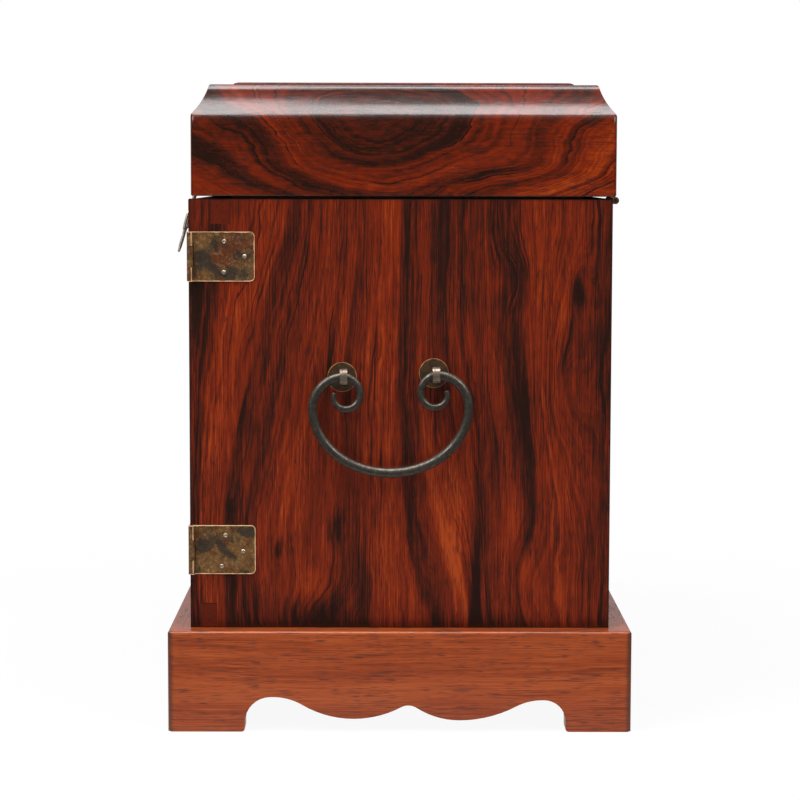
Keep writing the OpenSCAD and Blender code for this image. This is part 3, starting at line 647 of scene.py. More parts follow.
@dataclass(frozen=True)
class Patina:
    """A metal with its tarnish: how much of it is dark or warm, and how wide the
    clouds of the tarnish are, in millimetres."""

    name: str
    bare: Colour
    dark: Colour
    warm: Colour
    # Pale colour of rubbed patches, and of the painted highlight along a rim.
    worn: Colour
    dark_share: float
    warm_share: float
    metallic: float
    roughness: float
    mottle: float
    bump: float

    def material(
        self, piece: str, rim: Rim | None = None, blots: tuple[Blot, ...] = ()
    ) -> bpy.types.Material:
        """Make the material of one piece.

        Args:
            piece: name of the piece, for the material's own name.
            rim: gives the distance in millimetres from the edge that carries a painted highlight,
                if any.
            blots: stains; with a negative darkness or redness they are cleaner.

        Returns:
            The material.
        """
        web = Web(bpy.data.materials.new(f"{self.name}_{piece}"))
        x, y, z = web.position()
        cell = self.mottle
        cloud = web.noise(x / cell, y / cell, z / cell, 5.0, 0.68)
        tint = web.noise(y / cell + 7.0, z / cell, x / cell, 5.0, 0.66)
        speck = web.noise(x / 0.7, y / 0.7, z / 0.7, 2.0, 0.7)
        depth = cloud + speck * 0.35
        for blot in blots:
            v = (z - blot.z) / blot.half_z
            u = (y - blot.y - (z - blot.z) * blot.lean) / blot.half_y
            bell = u.bell(v)
            depth = depth + bell * blot.dark
            if blot.red:
                tint = tint + bell * blot.red
        edge = 0.24 - self.dark_share * 0.44
        dark = depth.between(edge - 0.16, edge + 0.24)
        turn = 0.3 - self.warm_share * 0.6
        warm = (tint + speck * 0.3).between(turn - 0.08, turn + 0.26)
        grime = web.noise(x / 1.9 + 3.0, y / 1.9, z / 1.9, 3.0, 0.7)
        colour = web.mix(warm * 0.85, self.bare, self.warm)
        colour = web.mix(grime.between(0.0, 0.6) * 0.34, colour, self.worn)
        colour = web.mix(grime.between(0.0, -0.55) * 0.6, colour, self.dark)
        colour = web.mix(dark * 0.82, colour, self.dark)
        rough = dark * 0.16 + speck * 0.1 + self.roughness
        metallic = dark * (-0.4 * self.metallic) + self.metallic
        if rim is not None:
            # Painted highlight: a pale, less metallic line along the sheet's edge, and along a
            # hinge's bend.
            edge_mark = web.noise(x / 4.0, y / 4.0, z / 4.0, 2.0)
            line = (rim(x, y, z) + edge_mark * 0.4).between(0.48, 0.16)
            colour = web.mix(line * 0.9, colour, self.worn)
            rough = rough - line * 0.08
            metallic = metallic * (1.0 - line)
        sockets = {
            "Base Color": colour,
            "Roughness": rough.larger(0.12),
            "Metallic": metallic,
        }
        relief = cloud * 0.5 + speck * 0.4 - dark * 0.3
        web.finish(sockets, relief, self.bump)
        return web.owner

    def dress(self, *nodes: str) -> None:
        """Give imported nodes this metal, each in a material of its own."""
        for node in nodes:
            dress(node, self.material(node))


OLD_BRASS = Patina(
    name="old_brass",
    bare=paint(120, 84, 44),
    dark=paint(36, 35, 26),
    warm=paint(100, 48, 23),
    worn=paint(236, 194, 146),
    dark_share=0.42,
    warm_share=0.5,
    metallic=0.3,
    roughness=0.36,
    mottle=7.0,
    bump=0.04,
)
ROSE_BRASS = replace(
    OLD_BRASS,
    name="rose_brass",
    bare=paint(86, 62, 36),
    dark=paint(44, 38, 28),
    warm=paint(84, 50, 30),
    worn=paint(168, 120, 78),
    dark_share=0.5,
    mottle=4.0,
)
DARK_IRON = Patina(
    name="dark_iron",
    bare=paint(92, 86, 78),
    dark=paint(50, 48, 43),
    warm=paint(88, 76, 66),
    worn=paint(168, 152, 138),
    dark_share=0.46,
    warm_share=0.4,
    metallic=0.78,
    roughness=0.34,
    mottle=6.0,
    bump=0.07,
)
GREY_IRON = Patina(
    name="grey_iron",
    bare=paint(136, 122, 108),
    dark=paint(78, 66, 56),
    warm=paint(122, 98, 80),
    worn=paint(190, 178, 162),
    dark_share=0.4,
    warm_share=0.5,
    metallic=0.6,
    roughness=0.3,
    mottle=3.0,
    bump=0.04,
)
PALE_METAL = Patina(
    name="pale_metal",
    bare=paint(206, 192, 172),
    dark=paint(130, 112, 92),
    warm=paint(196, 160, 128),
    worn=paint(238, 228, 212),
    dark_share=0.3,
    warm_share=0.4,
    metallic=0.78,
    roughness=0.26,
    mottle=2.0,
    bump=0.03,
)
HASP_METAL = replace(
    PALE_METAL,
    name="hasp_metal",
    bare=paint(222, 214, 208),
    dark=paint(172, 162, 154),
    warm=paint(208, 194, 182),
    metallic=0.35,
)


def round_corner(first: Value, second: Value, radius: float) -> Value:
    """Return the distance from the edge of a sheet whose corner is rounded.

    Args:
        first: distance from one straight edge.
        second: distance from the other.
        radius: radius of the corner.

    Returns:
        The distance, positive inside.
    """
    corner = (radius - first).larger(0.0).hypot((radius - second).larger(0.0))
    return first.smaller(second).smaller(radius - corner)


def add_object(name: str, data: bpy.types.ID) -> bpy.types.Object:
    """Add an object with this data to the scene."""
    thing = bpy.data.objects.new(name, data)
    bpy.context.scene.collection.objects.link(thing)
    return thing


def free_mesh(name: str) -> bpy.types.Object:
    """Name the object that an operator has just added, and return it."""
    piece = bpy.context.view_layer.objects.active
    piece.name = name
    piece.data.name = name
    return piece


def nothing_selected() -> None:
    """Deselect every object, so that an operator finds only what is selected next."""
    bpy.ops.object.select_all(action="DESELECT")


def copy_of_node(node: str, name: str) -> bpy.types.Object:
    """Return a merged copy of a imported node, free of its body.

    Args:
        node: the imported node.
        name: name of the copy.

    Returns:
        The copy, active and selected, in object mode.
    """
    nothing_selected()
    piece = add_object(name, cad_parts[node].data.copy())
    piece.select_set(True)
    bpy.context.view_layer.objects.active = piece
    bpy.ops.object.mode_set(mode="EDIT")
    bpy.ops.mesh.select_all(action="SELECT")
    bpy.ops.mesh.remove_doubles(threshold=0.00001)
    bpy.ops.mesh.tris_convert_to_quads()
    bpy.ops.mesh.normals_make_consistent(inside=False)
    bpy.ops.object.mode_set(mode="OBJECT")
    return piece


def settle(
    piece: bpy.types.Object, body: str, material: bpy.types.Material
) -> None:
    """Give a new piece its material and the body that it rides on."""
    piece.data.materials.clear()
    piece.data.materials.append(material)
    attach(piece, body)
    LOG.info("%s rides on %s", piece.name, body)


@dataclass
class Nails:
    """The small domed nails that hold the metalwork.

    A head's steps are shares of its rise, with how much the disc shrinks at each.
    """

    radius: float = 1.35
    rise: float = 0.8
    sides: int = 14
    dome: Pairs = ((0.3, 0.98), (0.35, 0.86), (0.25, 0.66), (0.1, 0.4))
    pit: Pairs = ((0.35, 0.96), (0.3, 0.82), (0.05, 0.62), (-0.45, 0.7))

    def head(self, hollow: bool) -> bpy.types.Object:
        """Model one nail head at the origin, its dome along +Z.

        Args:
            hollow: whether the dome has sunk in, as on a struck tubular nail.

        Returns:
            The head.
        """
        nothing_selected()
        bpy.ops.mesh.primitive_circle_add(
            vertices=self.sides, radius=self.radius * MM, fill_type="NGON"
        )
        piece = free_mesh("nail_pattern")
        bpy.ops.object.mode_set(mode="EDIT")
        bpy.ops.mesh.select_all(action="SELECT")
        for share, scale in self.pit if hollow else self.dome:
            lift = (0.0, 0.0, self.rise * share * MM)
            bpy.ops.mesh.extrude_region_move(TRANSFORM_OT_translate={"value": lift})
            bpy.ops.transform.resize(value=(scale, scale, 1.0))
        bpy.ops.mesh.select_all(action="SELECT")
        bpy.ops.mesh.normals_make_consistent(inside=False)
        bpy.ops.object.mode_set(mode="OBJECT")
        bpy.ops.object.shade_smooth()
        return piece

    def drive(
        self,
        name: str,
        body: str,
        spots: list[tuple[Vector, Vector]],
        hollow: tuple[int, ...] = (),
    ) -> None:
        """Set a group of nails, as one object.

        Args:
            name: name of the group.
            body: body that the group rides on.
            spots: for each nail, its place on the metal and the way it faces.
            hollow: which of them have sunk in.
        """
        patterns = {kind: self.head(kind) for kind in (False, True)}
        heads = []
        for index, (place, facing) in enumerate(spots):
            pattern = patterns[index in hollow]
            mesh = pattern.data.copy()
            turn = facing.to_track_quat("Z", "Y").to_matrix().to_4x4()
            mesh.transform(Matrix.Translation(place * MM) @ turn)
            heads.append(add_object(f"{name}_{index}", mesh))
        for pattern in patterns.values():
            bpy.data.objects.remove(pattern)
        nothing_selected()
        for head in heads:
            head.select_set(True)
        bpy.context.view_layer.objects.active = heads[0]
        bpy.ops.object.join()
        settle(free_mesh(name), body, PALE_METAL.material(name))


@dataclass
class Plinth:
    """The mitred plinth with its shaped apron."""

    width: float = 344.8
    depth: float = 269.2
    heart_z: float = 20.0

    def dress(self, mid_y: float) -> None:
        """Dress the four boards and the glue blocks."""
        side_x = self.width / 2
        end_y = self.depth / 2
        for name, along, x, y, seed in (
            ("right", Axis.Y, side_x, 0.0, 1.7),
            ("left", Axis.Y, -side_x, 0.0, 4.2),
            ("front", Axis.X, 0.0, -end_y, 6.1),
            ("rear", Axis.X, 0.0, end_y, 8.3),
        ):
            cut = Cut(
                along, Axis.Z, (x, mid_y + y, self.heart_z), lean=0.4, seed=seed,
                wobble=(16.0, 4.0), worn_corners=True,
            )
            PLINTH_WOOD.dress(f"base_{name}_board", cut)
        CAMPHOR.dress("base_corner_blocks", Cut(Axis.Z, Axis.X, seed=2.0))


@dataclass
class Carcase:
    """The body: two figured side panels, back, rails, shelves and tray."""

    side_x: float = 160.0
    rear_y: float = 122.0
    rail_z: float = 60.0

    def side_bands(self) -> Pairs:
        """Return the side panel's colour bands, from front to back at mid-height.

        Each is the distance from the panel's middle and how light the wood is.
        """
        return (
            (-126.0, 0.4), (-118.0, 0.34), (-116.5, 0.16), (-113.0, 0.2), (-111.0, 0.6),
            (-102.0, 0.64), (-94.5, 0.6), (-92.0, 0.2), (-88.0, 0.12), (-84.5, 0.14),
            (-83.0, 0.42), (-81.0, 0.36), (-79.0, 0.16), (-76.5, 0.2), (-74.5, 0.46),
            (-64.0, 0.52), (-59.0, 0.7), (-54.0, 0.6), (-50.0, 0.38), (-44.0, 0.5),
            (-38.0, 0.54), (-35.0, 0.3), (-30.0, 0.26), (-27.0, 0.42), (-22.0, 0.54),
            (-14.0, 0.72), (-4.0, 0.66), (0.0, 0.14), (3.0, 0.1), (5.0, 0.36),
            (7.0, 0.24), (9.5, 0.28), (12.0, 0.62), (17.0, 0.56), (20.0, 0.12),
            (26.0, 0.04), (31.0, 0.08), (34.0, 0.36), (39.0, 0.44), (44.0, 0.24),
            (48.0, 0.42), (54.0, 0.3), (60.0, 0.46), (66.0, 0.34), (70.0, 0.12),
            (77.0, 0.08), (80.0, 0.4), (84.0, 0.66), (87.0, 0.42), (89.0, 0.7),
            (93.0, 0.5), (95.0, 0.76), (99.0, 0.5), (101.0, 0.74), (105.0, 0.44),
            (107.0, 0.68), (111.0, 0.56), (115.0, 0.42), (122.0, 0.28),
        )

    def side_swells(self) -> tuple[Swell, ...]:
        """Return the leaning grain, knots and stains of the side panel, and a band of painted
        shade along its foot.
        """
        return (
            Swell(331.0, -60.0, 110.0, 45.0, push=-31.0),
            Swell(96.0, -92.0, 60.0, 34.0, push=9.0),
            Swell(311.0, 65.0, 90.0, 30.0, push=12.0),
            Swell(50.0, 30.0, 90.0, 30.0, push=-22.0),
            Swell(257.0, 103.0, 20.0, 6.0, push=8.0),
            Swell(254.0, 103.0, 8.0, 3.0, tone=-0.6),
            Swell(204.0, 95.0, 50.0, 17.0, push=18.0, tone=0.08),
            Swell(150.0, 25.0, 62.0, 14.0, tone=0.34),
            Swell(176.0, 76.0, 30.0, 9.0, tone=-0.22),
            Swell(263.0, 66.0, 20.0, 9.0, push=-9.0, tone=-0.12),
            Swell(248.0, 118.0, 90.0, 7.0, tone=-0.16),
            Swell(129.0, -99.0, 6.5, 2.4, push=3.0, tone=-0.45),
            Swell(104.0, -71.5, 7.0, 2.6, push=3.0, tone=-0.5),
            Swell(118.0, -37.0, 9.0, 4.0, push=4.0, tone=-0.3),
            Swell(262.0, -117.0, 16.0, 5.0, tone=-0.5),
            Swell(244.0, -118.0, 22.0, 3.0, tone=-0.4),
            Swell(66.0, -48.0, 12.0, 22.0, push=10.0, tone=-0.4),
            Swell(74.0, -20.0, 26.0, 5.0, tone=-0.36),
            Swell(84.0, -54.0, 14.0, 9.0, tone=0.3),
            Swell(106.0, 34.0, 46.0, 9.0, tone=0.4),
            Swell(98.0, 45.0, 44.0, 2.2, tone=-0.55),
            Swell(84.0, 72.0, 30.0, 18.0, push=16.0),
            Swell(104.0, 67.0, 44.0, 9.0, tone=0.3),
            Swell(296.0, -92.0, 22.0, 14.0, tone=-0.16),
            Swell(286.0, 40.0, 34.0, 10.0, tone=-0.14),
            # Painted shade: a dark band along the panel's foot, where it meets the plinth.
            Swell(59.0, 0.0, 5.0, 260.0, tone=-0.3),
        )

    def dress(self, mid_y: float) -> None:
        """Dress the body's boards."""
        for name, side, seed in (("right", 1, 0.0), ("left", -1, 3.3)):
            cut = Cut(
                Axis.Z, Axis.Y, (side * self.side_x, mid_y, 0.0), lean=0.5 * side,
                seed=seed, wobble=(9.0, 6.0), swells=self.side_swells(),
                bands=self.side_bands(), bare_shaded_top=True,
            )
            ROSEWOOD.dress(f"{name}_side_panel", cut)
        back = Cut(
            Axis.Z, Axis.X, (0.0, mid_y + self.rear_y, 0.0), seed=5.5, bare_shaded_top=True
        )
        ROSEWOOD.dress("back_panel", back)
        rail = Cut(
            Axis.X, Axis.Z, (0.0, 0.0, self.rail_z), seed=7.7, bare_shaded_top=True, end_tone=0.4
        )
        for node in ("front_bottom_rail", "tray_front_rail"):
            ROSEWOOD.dress(node, rail)
        for index, node in enumerate(
            ("bottom_board", "tray_board", "upper_shelf", "lower_shelf", "lid_locating_strips")
        ):
            CAMPHOR.dress(node, Cut(Axis.X, Axis.Y, seed=1.0 + index))
        CAMPHOR.dress("upper_divider", Cut(Axis.Y, Axis.Z, seed=9.0))


@dataclass
class Lid:
    """The coved lid, whose sides show an eye of concentric rings."""

    side_x: float = 161.0
    front_y: float = -120.5
    rear_y: float = 124.0
    eye_z: float = 355.0
    side_eye_y: float = -13.0
    front_eye_x: float = 22.0
    shoulder_z: float = 354.8
    rim_height: float = 1.4
    top_z: float = 374.0

    def bands(self) -> Pairs:
        """Return the bands from the eye's middle outwards, and how light each is."""
        return (
            (0.0, 0.1), (6.0, 0.16), (11.0, 0.07), (17.0, 0.12), (22.0, 0.1),
            (23.4, 0.4), (24.4, 0.08), (26.0, 0.0), (28.4, 0.04), (30.4, 0.42),
            (31.8, 0.32), (33.2, 0.56), (34.8, 0.34), (36.2, 0.6), (38.0, 0.42),
            (39.8, 0.62), (42.0, 0.46), (44.2, 0.16), (49.0, 0.06), (51.8, 0.3),
            (54.4, 0.52), (56.6, 0.34), (58.4, 0.12), (61.0, 0.16), (64.0, 0.44),
            (68.0, 0.62), (73.0, 0.76), (80.0, 0.7),
        )

    def swells(self) -> tuple[Swell, ...]:
        """Return what bends and stains the rings round the eye on a side board."""
        return (
            Swell(-72.0, -8.0, 30.0, 20.0, push=9.0),
            Swell(92.0, -28.0, 34.0, 16.0, push=-12.0, tone=0.12),
            Swell(108.0, -12.0, 20.0, 30.0, tone=0.1),
            Swell(-66.0, -26.0, 16.0, 12.0, tone=0.16),
            Swell(0.0, 0.0, 34.0, 16.0, tone=-0.12),
            Swell(-112.0, -26.0, 34.0, 30.0, tone=-0.2),
        )

    def eased(self) -> tuple[Ease, ...]:
        """Return the polished shoulder under the cove, and the rim over it."""
        rim_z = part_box("lid_right_board")[1].z / MM
        shoulder = Ease(self.shoulder_z, below=6.0, above=2.7, slope=0.34)
        rim = Ease(rim_z - self.rim_height, below=2.4, above=0.5, slope=0.42)
        return (shoulder, rim)

    def dress(self, mid_y: float) -> None:
        """Dress the lid's boards and its raised panel."""
        for name, side, seed in (("right", 1, 0.6), ("left", -1, 2.9)):
            cut = Cut(
                Axis.Y, Axis.Z, (side * self.side_x, mid_y + self.side_eye_y, self.eye_z),
                lean=-0.6 * side, seed=seed, wobble=(6.0, 6.0), swells=self.swells(),
                bands=self.bands(), eye_reach=40.0, fibre_share=0.4, curl=7.0,
                bare_shaded_foot=True, eased=self.eased(),
            )
            LID_ROSEWOOD.dress(f"lid_{name}_board", cut)
        for name, face, side, seed in (
            ("front", self.front_y, -1, 4.4), ("rear", self.rear_y, 1, 6.8)
        ):
            cut = Cut(
                Axis.X, Axis.Z, (self.front_eye_x, mid_y + face, self.eye_z),
                lean=-0.6 * side, seed=seed, wobble=(16.0, 12.0), bands=self.bands(),
                eye_reach=56.0, fibre_share=0.5, curl=9.0, bare_shaded_foot=True,
                eased=self.eased(),
            )
            LID_ROSEWOOD.dress(f"lid_{name}_board", cut)
        panel = Cut(Axis.X, Axis.Y, (0.0, mid_y, self.top_z), seed=8.1)
        ROSEWOOD.dress("lid_top_panel", panel)


@dataclass
class Doors:
    """The pair of doors with their plates, staples and drop pulls."""

    front_y: float = -122.0
    plate_r: float = 38.0
    joint_z: float = 309.25
    pull_plate_z: float = 183.5
    pull_plate_r: float = 20.0
    sheet: float = 0.8
    nail_spots: Pairs = (
        (30.0, 292.5), (24.0, 282.0), (6.5, 167.5), (15.5, 189.5)
    )

    def rim(self, x: Value, y: Value, z: Value) -> Value:
        """Return the distance from the plates' outlines."""
        lock = self.plate_r - x.hypot(z - self.joint_z)
        pull = self.pull_plate_r - x.hypot(z - self.pull_plate_z)
        return lock.larger(pull)

    def dress(self, mid_y: float, nails: Nails) -> None:
        """Dress the doors and drive their plates' nails."""
        face = mid_y + self.front_y
        for name, side, seed in (("right", 1, 3.9), ("left", -1, 7.2)):
            cut = Cut(
                Axis.Z, Axis.X, (0.0, face, 0.0), lean=0.5, seed=seed, bare_shaded_top=True
            )
            body = f"{name}_door"
            ROSEWOOD.dress(body, cut)
            dress(f"{name}_door_plates", OLD_BRASS.material(f"{name}_plates", self.rim))
            PALE_METAL.dress(f"{name}_door_staples")
            OLD_BRASS.dress(f"{name}_door_pull")
            spots = []
            for x, z in self.nail_spots:
                spots.append((Vector((side * x, face - self.sheet, z)), Vector((0, -1, 0))))
            nails.drive(f"{name}_plate_nails", body, spots)


@dataclass
class Drawers:
    """The four drawers behind the doors."""

    front_y: float = -89.0
    heart_z: float = 140.0
    names: tuple[str, ...] = ("top_left", "top_right", "middle", "bottom")

    def dress(self, mid_y: float) -> None:
        """Dress the drawers' fronts, boxes, staples and pulls."""
        for index, name in enumerate(self.names):
            seed = 2.0 + 1.9 * index
            face = (0.0, mid_y + self.front_y, self.heart_z)
            front = Cut(Axis.X, Axis.Z, face, seed=seed)
            ROSEWOOD.dress(f"{name}_drawer_front", front)
            CAMPHOR.dress(f"{name}_drawer_box", Cut(Axis.Y, Axis.Z, seed=seed))
            OLD_BRASS.dress(f"{name}_pull_staple", f"{name}_drawer_pull")


@dataclass
class Hinges:
    """The door hinges on the front corners and the lid hinges at the back."""

    side_x: float = 160.0
    front_y: float = -122.0
    leaf_end: float = 38.0
    leaf_r: float = 2.6
    bend: float = 1.9
    half_height: float = 14.25
    heights: tuple[float, float] = (275.3, 105.0)
    sheet: float = 0.8
    rear_y: float = 122.0
    lid_rear_y: float = 124.0
    lid_hinge_x: tuple[float, float] = (86.0, 130.0)
    body_leaf_z: tuple[float, float] = (283.5, 307.5)
    lid_leaf_z: tuple[float, float] = (310.3, 334.3)
    upper_spots: Pairs = ((20.6, 8.6), (32.3, 0.1), (20.3, -9.0))
    lower_spots: Pairs = ((20.7, 8.3), (30.8, -1.0), (18.4, -9.7))
    sunk: Pairs = ((275.3, 8.6), (105.0, 8.3), (105.0, -9.7))
    rear_nail_step: float = 16.0
    rear_nail_rise: float = 4.0

    def stains(self, mid_y: float) -> tuple[Blot, ...]:
        """Return the stains on the side leaves, placed from the front face."""
        front = mid_y + self.front_y
        upper, lower = self.heights
        return (
            Blot(front + 8.0, upper - 0.5, 4.5, 4.5, 0.0, dark=0.6),
            Blot(front + 15.0, upper - 6.5, 7.5, 3.6, -1.0, dark=0.45),
            Blot(front + 27.0, upper - 10.0, 7.0, 3.0, 0.0, dark=0.35),
            Blot(front + 14.5, upper + 6.5, 2.4, 2.4, 0.0, dark=0.4),
            Blot(front + 5.0, upper + 9.0, 6.0, 4.0, 0.0, dark=-0.5, red=-0.5),
            Blot(front + 18.0, upper - 0.5, 6.0, 4.5, 0.4, dark=-0.4, red=0.7),
            Blot(front + 27.0, upper + 6.0, 8.0, 8.0, 0.0, dark=0.06, red=0.4),
            Blot(front + 7.5, lower + 1.5, 3.4, 5.0, 0.0, dark=0.5),
            Blot(front + 21.0, lower - 0.5, 3.0, 7.5, -0.9, dark=0.6),
            Blot(front + 32.5, lower + 10.0, 4.5, 3.0, 0.0, dark=0.6),
            Blot(front + 14.0, lower - 8.5, 9.0, 4.0, 0.0, dark=-0.4, red=-0.5),
            Blot(front + 29.0, lower - 3.0, 6.0, 8.0, 0.0, dark=-0.3, red=-0.3),
        )

    def _height_gap(self, z: Value) -> Value:
        """Return the distance from the upper or lower edge of the nearer leaf."""
        upper = (z - self.heights[0]).size()
        lower = (z - self.heights[1]).size()
        return self.half_height - upper.smaller(lower)

    def side_rim(self, mid_y: float) -> Rim:
        """Return the rim of the leaves on the side panels."""
        front = mid_y + self.front_y

        def rim(x: Value, y: Value, z: Value) -> Value:
            """Return the distance from the leaf's outline, or from the line along its bend where a
            highlight is painted.
            """
            reach = front + self.leaf_end - y
            outline = round_corner(reach, self._height_gap(z), self.leaf_r)
            # The line along the bend is a painted highlight, standing in for the lit knuckle.
            return outline.smaller((y - (front + self.bend)).size() + 0.14)

        return rim

    def door_rim(self, x: Value, y: Value, z: Value) -> Value:
        """Return the distance from the outline of a leaf on a door."""
        reach = x.size() - (self.side_x - self.leaf_end + 0.6)
        return round_corner(reach, self._height_gap(z), self.leaf_r)

    def dress(self, mid_y: float, nails: Nails) -> None:
        """Dress the hinges and drive their nails."""
        side = OLD_BRASS.material("side_leaves", self.side_rim(mid_y), self.stains(mid_y))
        dress("door_hinge_side_leaves", side)
        DARK_IRON.dress("door_hinge_pins", "lid_hinge_pins")
        OLD_BRASS.dress("lid_hinge_body_leaves", "lid_hinge_lid_leaves")
        for name in ("left", "right"):
            leaf = OLD_BRASS.material(f"{name}_door_leaves", self.door_rim)
            dress(f"{name}_hinge_door_leaves", leaf)
        self._drive_side_nails(mid_y, nails)
        self._drive_door_nails(mid_y, nails)
        self._drive_lid_nails(mid_y, nails)

    def _drive_side_nails(self, mid_y: float, nails: Nails) -> None:
        """Nail the leaves on the side panels."""
        places = []
        hollow = []
        for side in (1, -1):
            for height, spots in zip(self.heights, (self.upper_spots, self.lower_spots)):
                for reach, rise in spots:
                    place = Vector((
                        side * (self.side_x + self.sheet),
                        mid_y + self.front_y + reach,
                        height + rise,
                    ))
                    if side == 1 and (height, rise) in self.sunk:
                        hollow.append(len(places))
                    places.append((place, Vector((side, 0, 0))))
        nails.drive("side_leaf_nails", "chest", places, tuple(hollow))

    def _drive_door_nails(self, mid_y: float, nails: Nails) -> None:
        """Nail the leaves on the doors."""
        for name, side in (("right", 1), ("left", -1)):
            places = []
            for height in self.heights:
                for reach, rise in self.upper_spots:
                    place = Vector((
                        side * (self.side_x - reach),
                        mid_y + self.front_y - self.sheet,
                        height + rise,
                    ))
                    places.append((place, Vector((0, -1, 0))))
            nails.drive(f"{name}_leaf_nails", f"{name}_door", places)

    def _drive_lid_nails(self, mid_y: float, nails: Nails) -> None:
        """Nail both leaves of the lid's hinges."""
        for body, face, (low, high) in (
            ("chest", self.rear_y, self.body_leaf_z),
            ("lid", self.lid_rear_y, self.lid_leaf_z),
        ):
            middle = (low + high) / 2
            rise = self.rear_nail_rise * (-1 if body == "chest" else 1)
            step = self.rear_nail_step
            places = []
            for side in (1, -1):
                centre = side * sum(self.lid_hinge_x) / 2
                for dx, dz in ((-step, rise), (0.0, -rise), (step, rise)):
                    place = Vector((centre + dx, mid_y + face + self.sheet, middle + dz))
                    places.append((place, Vector((0, 1, 0))))
            nails.drive(f"{body}_rear_leaf_nails", body, places)


@dataclass
class Lock:
    """The round lock plate's upper half, with the hasp that hangs on it."""

    face_y: float = -120.5
    plate_r: float = 38.0
    joint_z: float = 309.25
    sheet: float = 0.8
    nail_r: float = 33.0
    nail_angles: tuple[float, ...] = (28.0, 66.0, 114.0, 152.0)

    def rim(self, x: Value, y: Value, z: Value) -> Value:
        """Return the distance from the plate's outline."""
        return self.plate_r - x.hypot(z - self.joint_z)

    def dress(self, mid_y: float, nails: Nails) -> None:
        """Dress the lock and drive its nails."""
        dress("lid_lock_plate", OLD_BRASS.material("lid_lock_plate", self.rim))
        HASP_METAL.dress("hasp")
        DARK_IRON.dress("hasp_pin")
        spots = []
        for angle in self.nail_angles:
            turn = math.radians(angle)
            place = Vector((
                self.nail_r * math.cos(turn),
                mid_y + self.face_y - self.sheet,
                self.joint_z + self.nail_r * math.sin(turn),
            ))
            spots.append((place, Vector((0, -1, 0))))
        nails.drive("lock_plate_nails", "lid", spots)


@dataclass
class Handles:
    """The two scrolled side handles in their staples, on round plates.

    Tilt is by how many degrees the line through the two plates is out of level.
    """

    middle_y: float = -5.9
    middle_z: float = 207.0
    half: float = 26.7
    plate_r: float = 8.6
    tilt: float = 1.2
    offsets: Pairs = ((-1.0, -0.5), (-1.4, 0.7))

    def rim(self, mid_y: float) -> Rim:
        """Return the rim of the round plates."""

        def rim(x: Value, y: Value, z: Value) -> Value:
            """Return the distance from the nearer plate's outline."""
            gaps = []
            rise = self.half * math.sin(math.radians(self.tilt))
            for sign, (back, up) in zip((-1, 1), self.offsets):
                centre = mid_y + self.middle_y + sign * self.half + back
                height = self.middle_z + up + sign * rise
                gaps.append(self.plate_r - (y - centre).hypot(z - height))
            return gaps[0].larger(gaps[1])

        return rim

    def dress(self, mid_y: float) -> None:
        """Dress the plates and staples, and make the rods round."""
        plates = ROSE_BRASS.material("handle_escutcheons", self.rim(mid_y))
        dress("handle_escutcheons", plates)
        GREY_IRON.dress("handle_staples")
        for name in ("right", "left"):
            self.round_rod(f"{name}_handle")

    @staticmethod
    def round_rod(node: str) -> None:
        """Replace a handle's facetted rod by a smooth one of the same line."""
        piece = copy_of_node(node, f"{node}_rod")
        smooth = piece.modifiers.new("round", "SUBSURF")
        smooth.levels = 2
        smooth.render_levels = 2
        bpy.ops.object.modifier_apply(modifier=smooth.name)
        bpy.ops.object.shade_smooth()
        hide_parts(node)
        settle(piece, node, DARK_IRON.material(node))


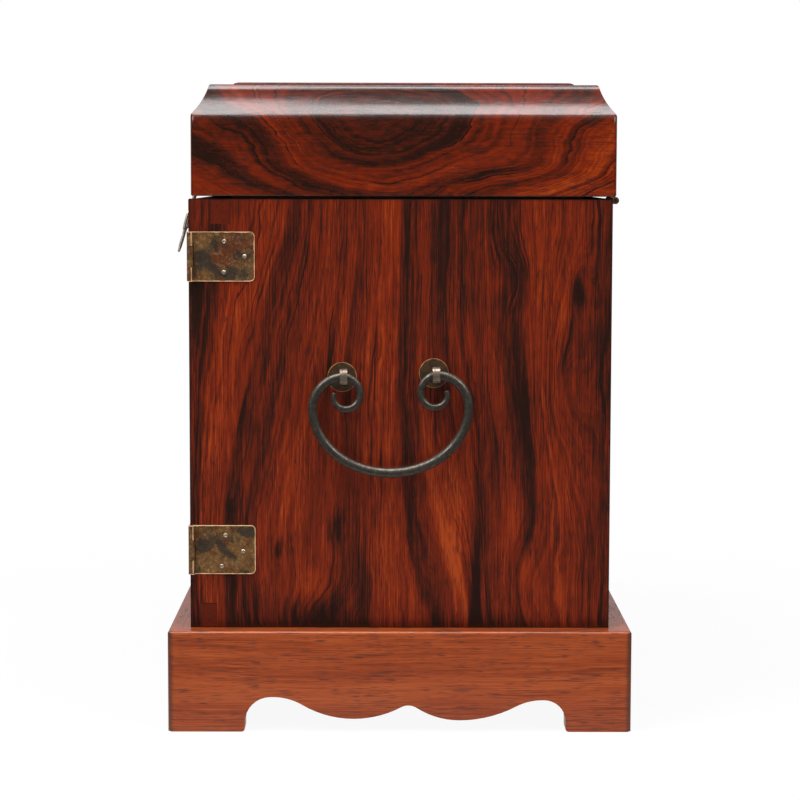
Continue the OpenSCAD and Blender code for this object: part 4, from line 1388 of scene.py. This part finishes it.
@dataclass
class Studio:
    """The photograph's white studio: floor, lights and camera."""

    camera_at: tuple[float, float, float] = (1542.7, -6.48, 324.6)
    pitch: float = 0.0952
    yaw: float = 0.0046
    roll: float = 0.0022
    lens: float = 108.0
    sensor: float = 36.0
    hanging_height: float = 1.5
    overhead_depth: float = 0.56
    overhead_radiance: float = 9.8
    left_radiance: float = 7.8
    right_radiance: float = 6.8
    room_light: float = 0.34
    paper_grey: float = 0.84
    floor_size: float = 30.0

    def place_camera(self, mid_y: float) -> None:
        """Set the camera at the photograph's view."""
        data = bpy.data.cameras.new("studio_camera")
        data.lens = self.lens
        data.sensor_width = self.sensor
        data.clip_end = 50.0
        camera = add_object("studio_camera", data)
        forward = Vector((
            -math.cos(self.yaw) * math.cos(self.pitch),
            math.sin(self.yaw) * math.cos(self.pitch),
            -math.sin(self.pitch),
        ))
        level = forward.cross(Vector((0, 0, 1))).normalized()
        upright = level.cross(forward)
        right = level * math.cos(self.roll) + upright * math.sin(self.roll)
        up = upright * math.cos(self.roll) - level * math.sin(self.roll)
        turn = Matrix((right, up, -forward)).transposed().to_4x4()
        x, y, z = self.camera_at
        place = Vector((x, y + mid_y, z)) * MM
        camera.matrix_world = Matrix.Translation(place) @ turn
        bpy.context.scene.camera = camera

    @staticmethod
    def lamp(
        name: str, place: Vector, target: Vector, size: tuple[float, float], radiance: float
    ) -> None:
        """Hang a soft box.

        Args:
            name: name of the lamp.
            place: where it hangs, in metres.
            target: where it points.
            size: its width and height in metres.
            radiance: how bright its face is, where white paper in plain light is 1.
        """
        data = bpy.data.lights.new(name, "AREA")
        data.shape = "RECTANGLE"
        data.size = size[0]
        data.size_y = size[1]
        data.energy = math.pi * radiance * size[0] * size[1]
        lamp = add_object(name, data)
        aim = (target - place).to_track_quat("-Z", "Y").to_matrix().to_4x4()
        lamp.matrix_world = Matrix.Translation(place) @ aim

    def light(self) -> None:
        """Hang two boxes over the chest, the left one wider, and one to each side."""
        middle = Vector((0.0, 0.0, 0.2))
        for side, x, y, width in (("left", 0.46, -0.38, 0.64), ("right", 0.34, 0.19, 0.4)):
            over = Vector((x, y, self.hanging_height))
            size = (width, self.overhead_depth)
            name = f"overhead_{side}_box"
            self.lamp(name, over, Vector((x, y, 0.0)), size, self.overhead_radiance)
        left = Vector((1.2, -1.75, 1.85))
        right = Vector((1.2, 1.7, 1.75))
        self.lamp("left_box", left, middle, (1.1, 1.1), self.left_radiance)
        self.lamp("right_box", right, middle, (1.0, 1.0), self.right_radiance)

    def surround(self) -> None:
        """Make the surroundings white to the camera, and soft grey to the light.

        Gloss shows the white paper behind and above the chest, and the dark half of
        the room that the camera stands in.
        """
        world = bpy.data.worlds.new("studio")
        bpy.context.scene.world = world
        web = Web(world)
        seen, glossy = web.rays()
        way = web.node("ShaderNodeTexCoord").outputs["Generated"]
        parts = web.node("ShaderNodeSeparateXYZ", None, {0: way}).outputs
        behind = Value(web, parts[0]).between(0.15, -0.5) * 0.5
        above = Value(web, parts[2]).between(0.5, 0.95) * 0.95
        mirrored = behind.larger(above) + 0.02
        soft = (1.0 - glossy) * self.room_light
        strength = seen.larger(soft + glossy * mirrored)
        sky = web.node(
            "ShaderNodeBackground", None, {"Color": (1.0, 1.0, 1.0, 1.0), "Strength": strength}
        )
        web.node("ShaderNodeOutputWorld", None, {"Surface": sky.outputs[0]})

    def floor(self) -> None:
        """Lay a white floor that keeps a faint shadow near the chest.

        Gloss shows the lit paper round the chest, and the dim floor further off.
        """
        nothing_selected()
        bpy.ops.mesh.primitive_plane_add(size=self.floor_size, location=(0.0, 0.0, 0.0))
        floor = free_mesh("studio_floor")
        web = Web(bpy.data.materials.new("studio_paper"))
        x, y, _ = web.position()
        seen, glossy = web.rays()
        reach = x.hypot(y)
        far = reach.between(260.0, 700.0)
        share = seen * (far * 0.07 + 0.93) + glossy
        near = reach.between(400.0, 180.0) * 0.6 + 0.02
        grey = (self.paper_grey, self.paper_grey, self.paper_grey, 1.0)
        paper = web.node("ShaderNodeBsdfDiffuse", None, {"Color": grey})
        glow = web.node("ShaderNodeEmission", None, {"Strength": seen + glossy * near})
        links = {0: share, 1: paper.outputs[0], 2: glow.outputs[0]}
        both = web.node("ShaderNodeMixShader", None, links)
        web.node("ShaderNodeOutputMaterial", None, {0: both.outputs[0]})
        floor.data.materials.append(web.owner)

    def build(self, mid_y: float) -> None:
        """Build the studio."""
        self.floor()
        self.surround()
        self.light()
        self.place_camera(mid_y)
        bpy.context.scene.view_settings.view_transform = "Standard"


def main() -> None:
    """Build and dress every part of the chest in order."""
    logging.basicConfig(level=logging.INFO, format="%(name)s: %(message)s")
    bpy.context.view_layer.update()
    mid_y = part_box("back_panel")[1].y / MM - Carcase().rear_y
    nails = Nails()
    Studio().build(mid_y)
    Plinth().dress(mid_y)
    Carcase().dress(mid_y)
    Lid().dress(mid_y)
    Doors().dress(mid_y, nails)
    Drawers().dress(mid_y)
    Hinges().dress(mid_y, nails)
    Lock().dress(mid_y, nails)
    Handles().dress(mid_y)


if __name__ == "__main__":
    main()
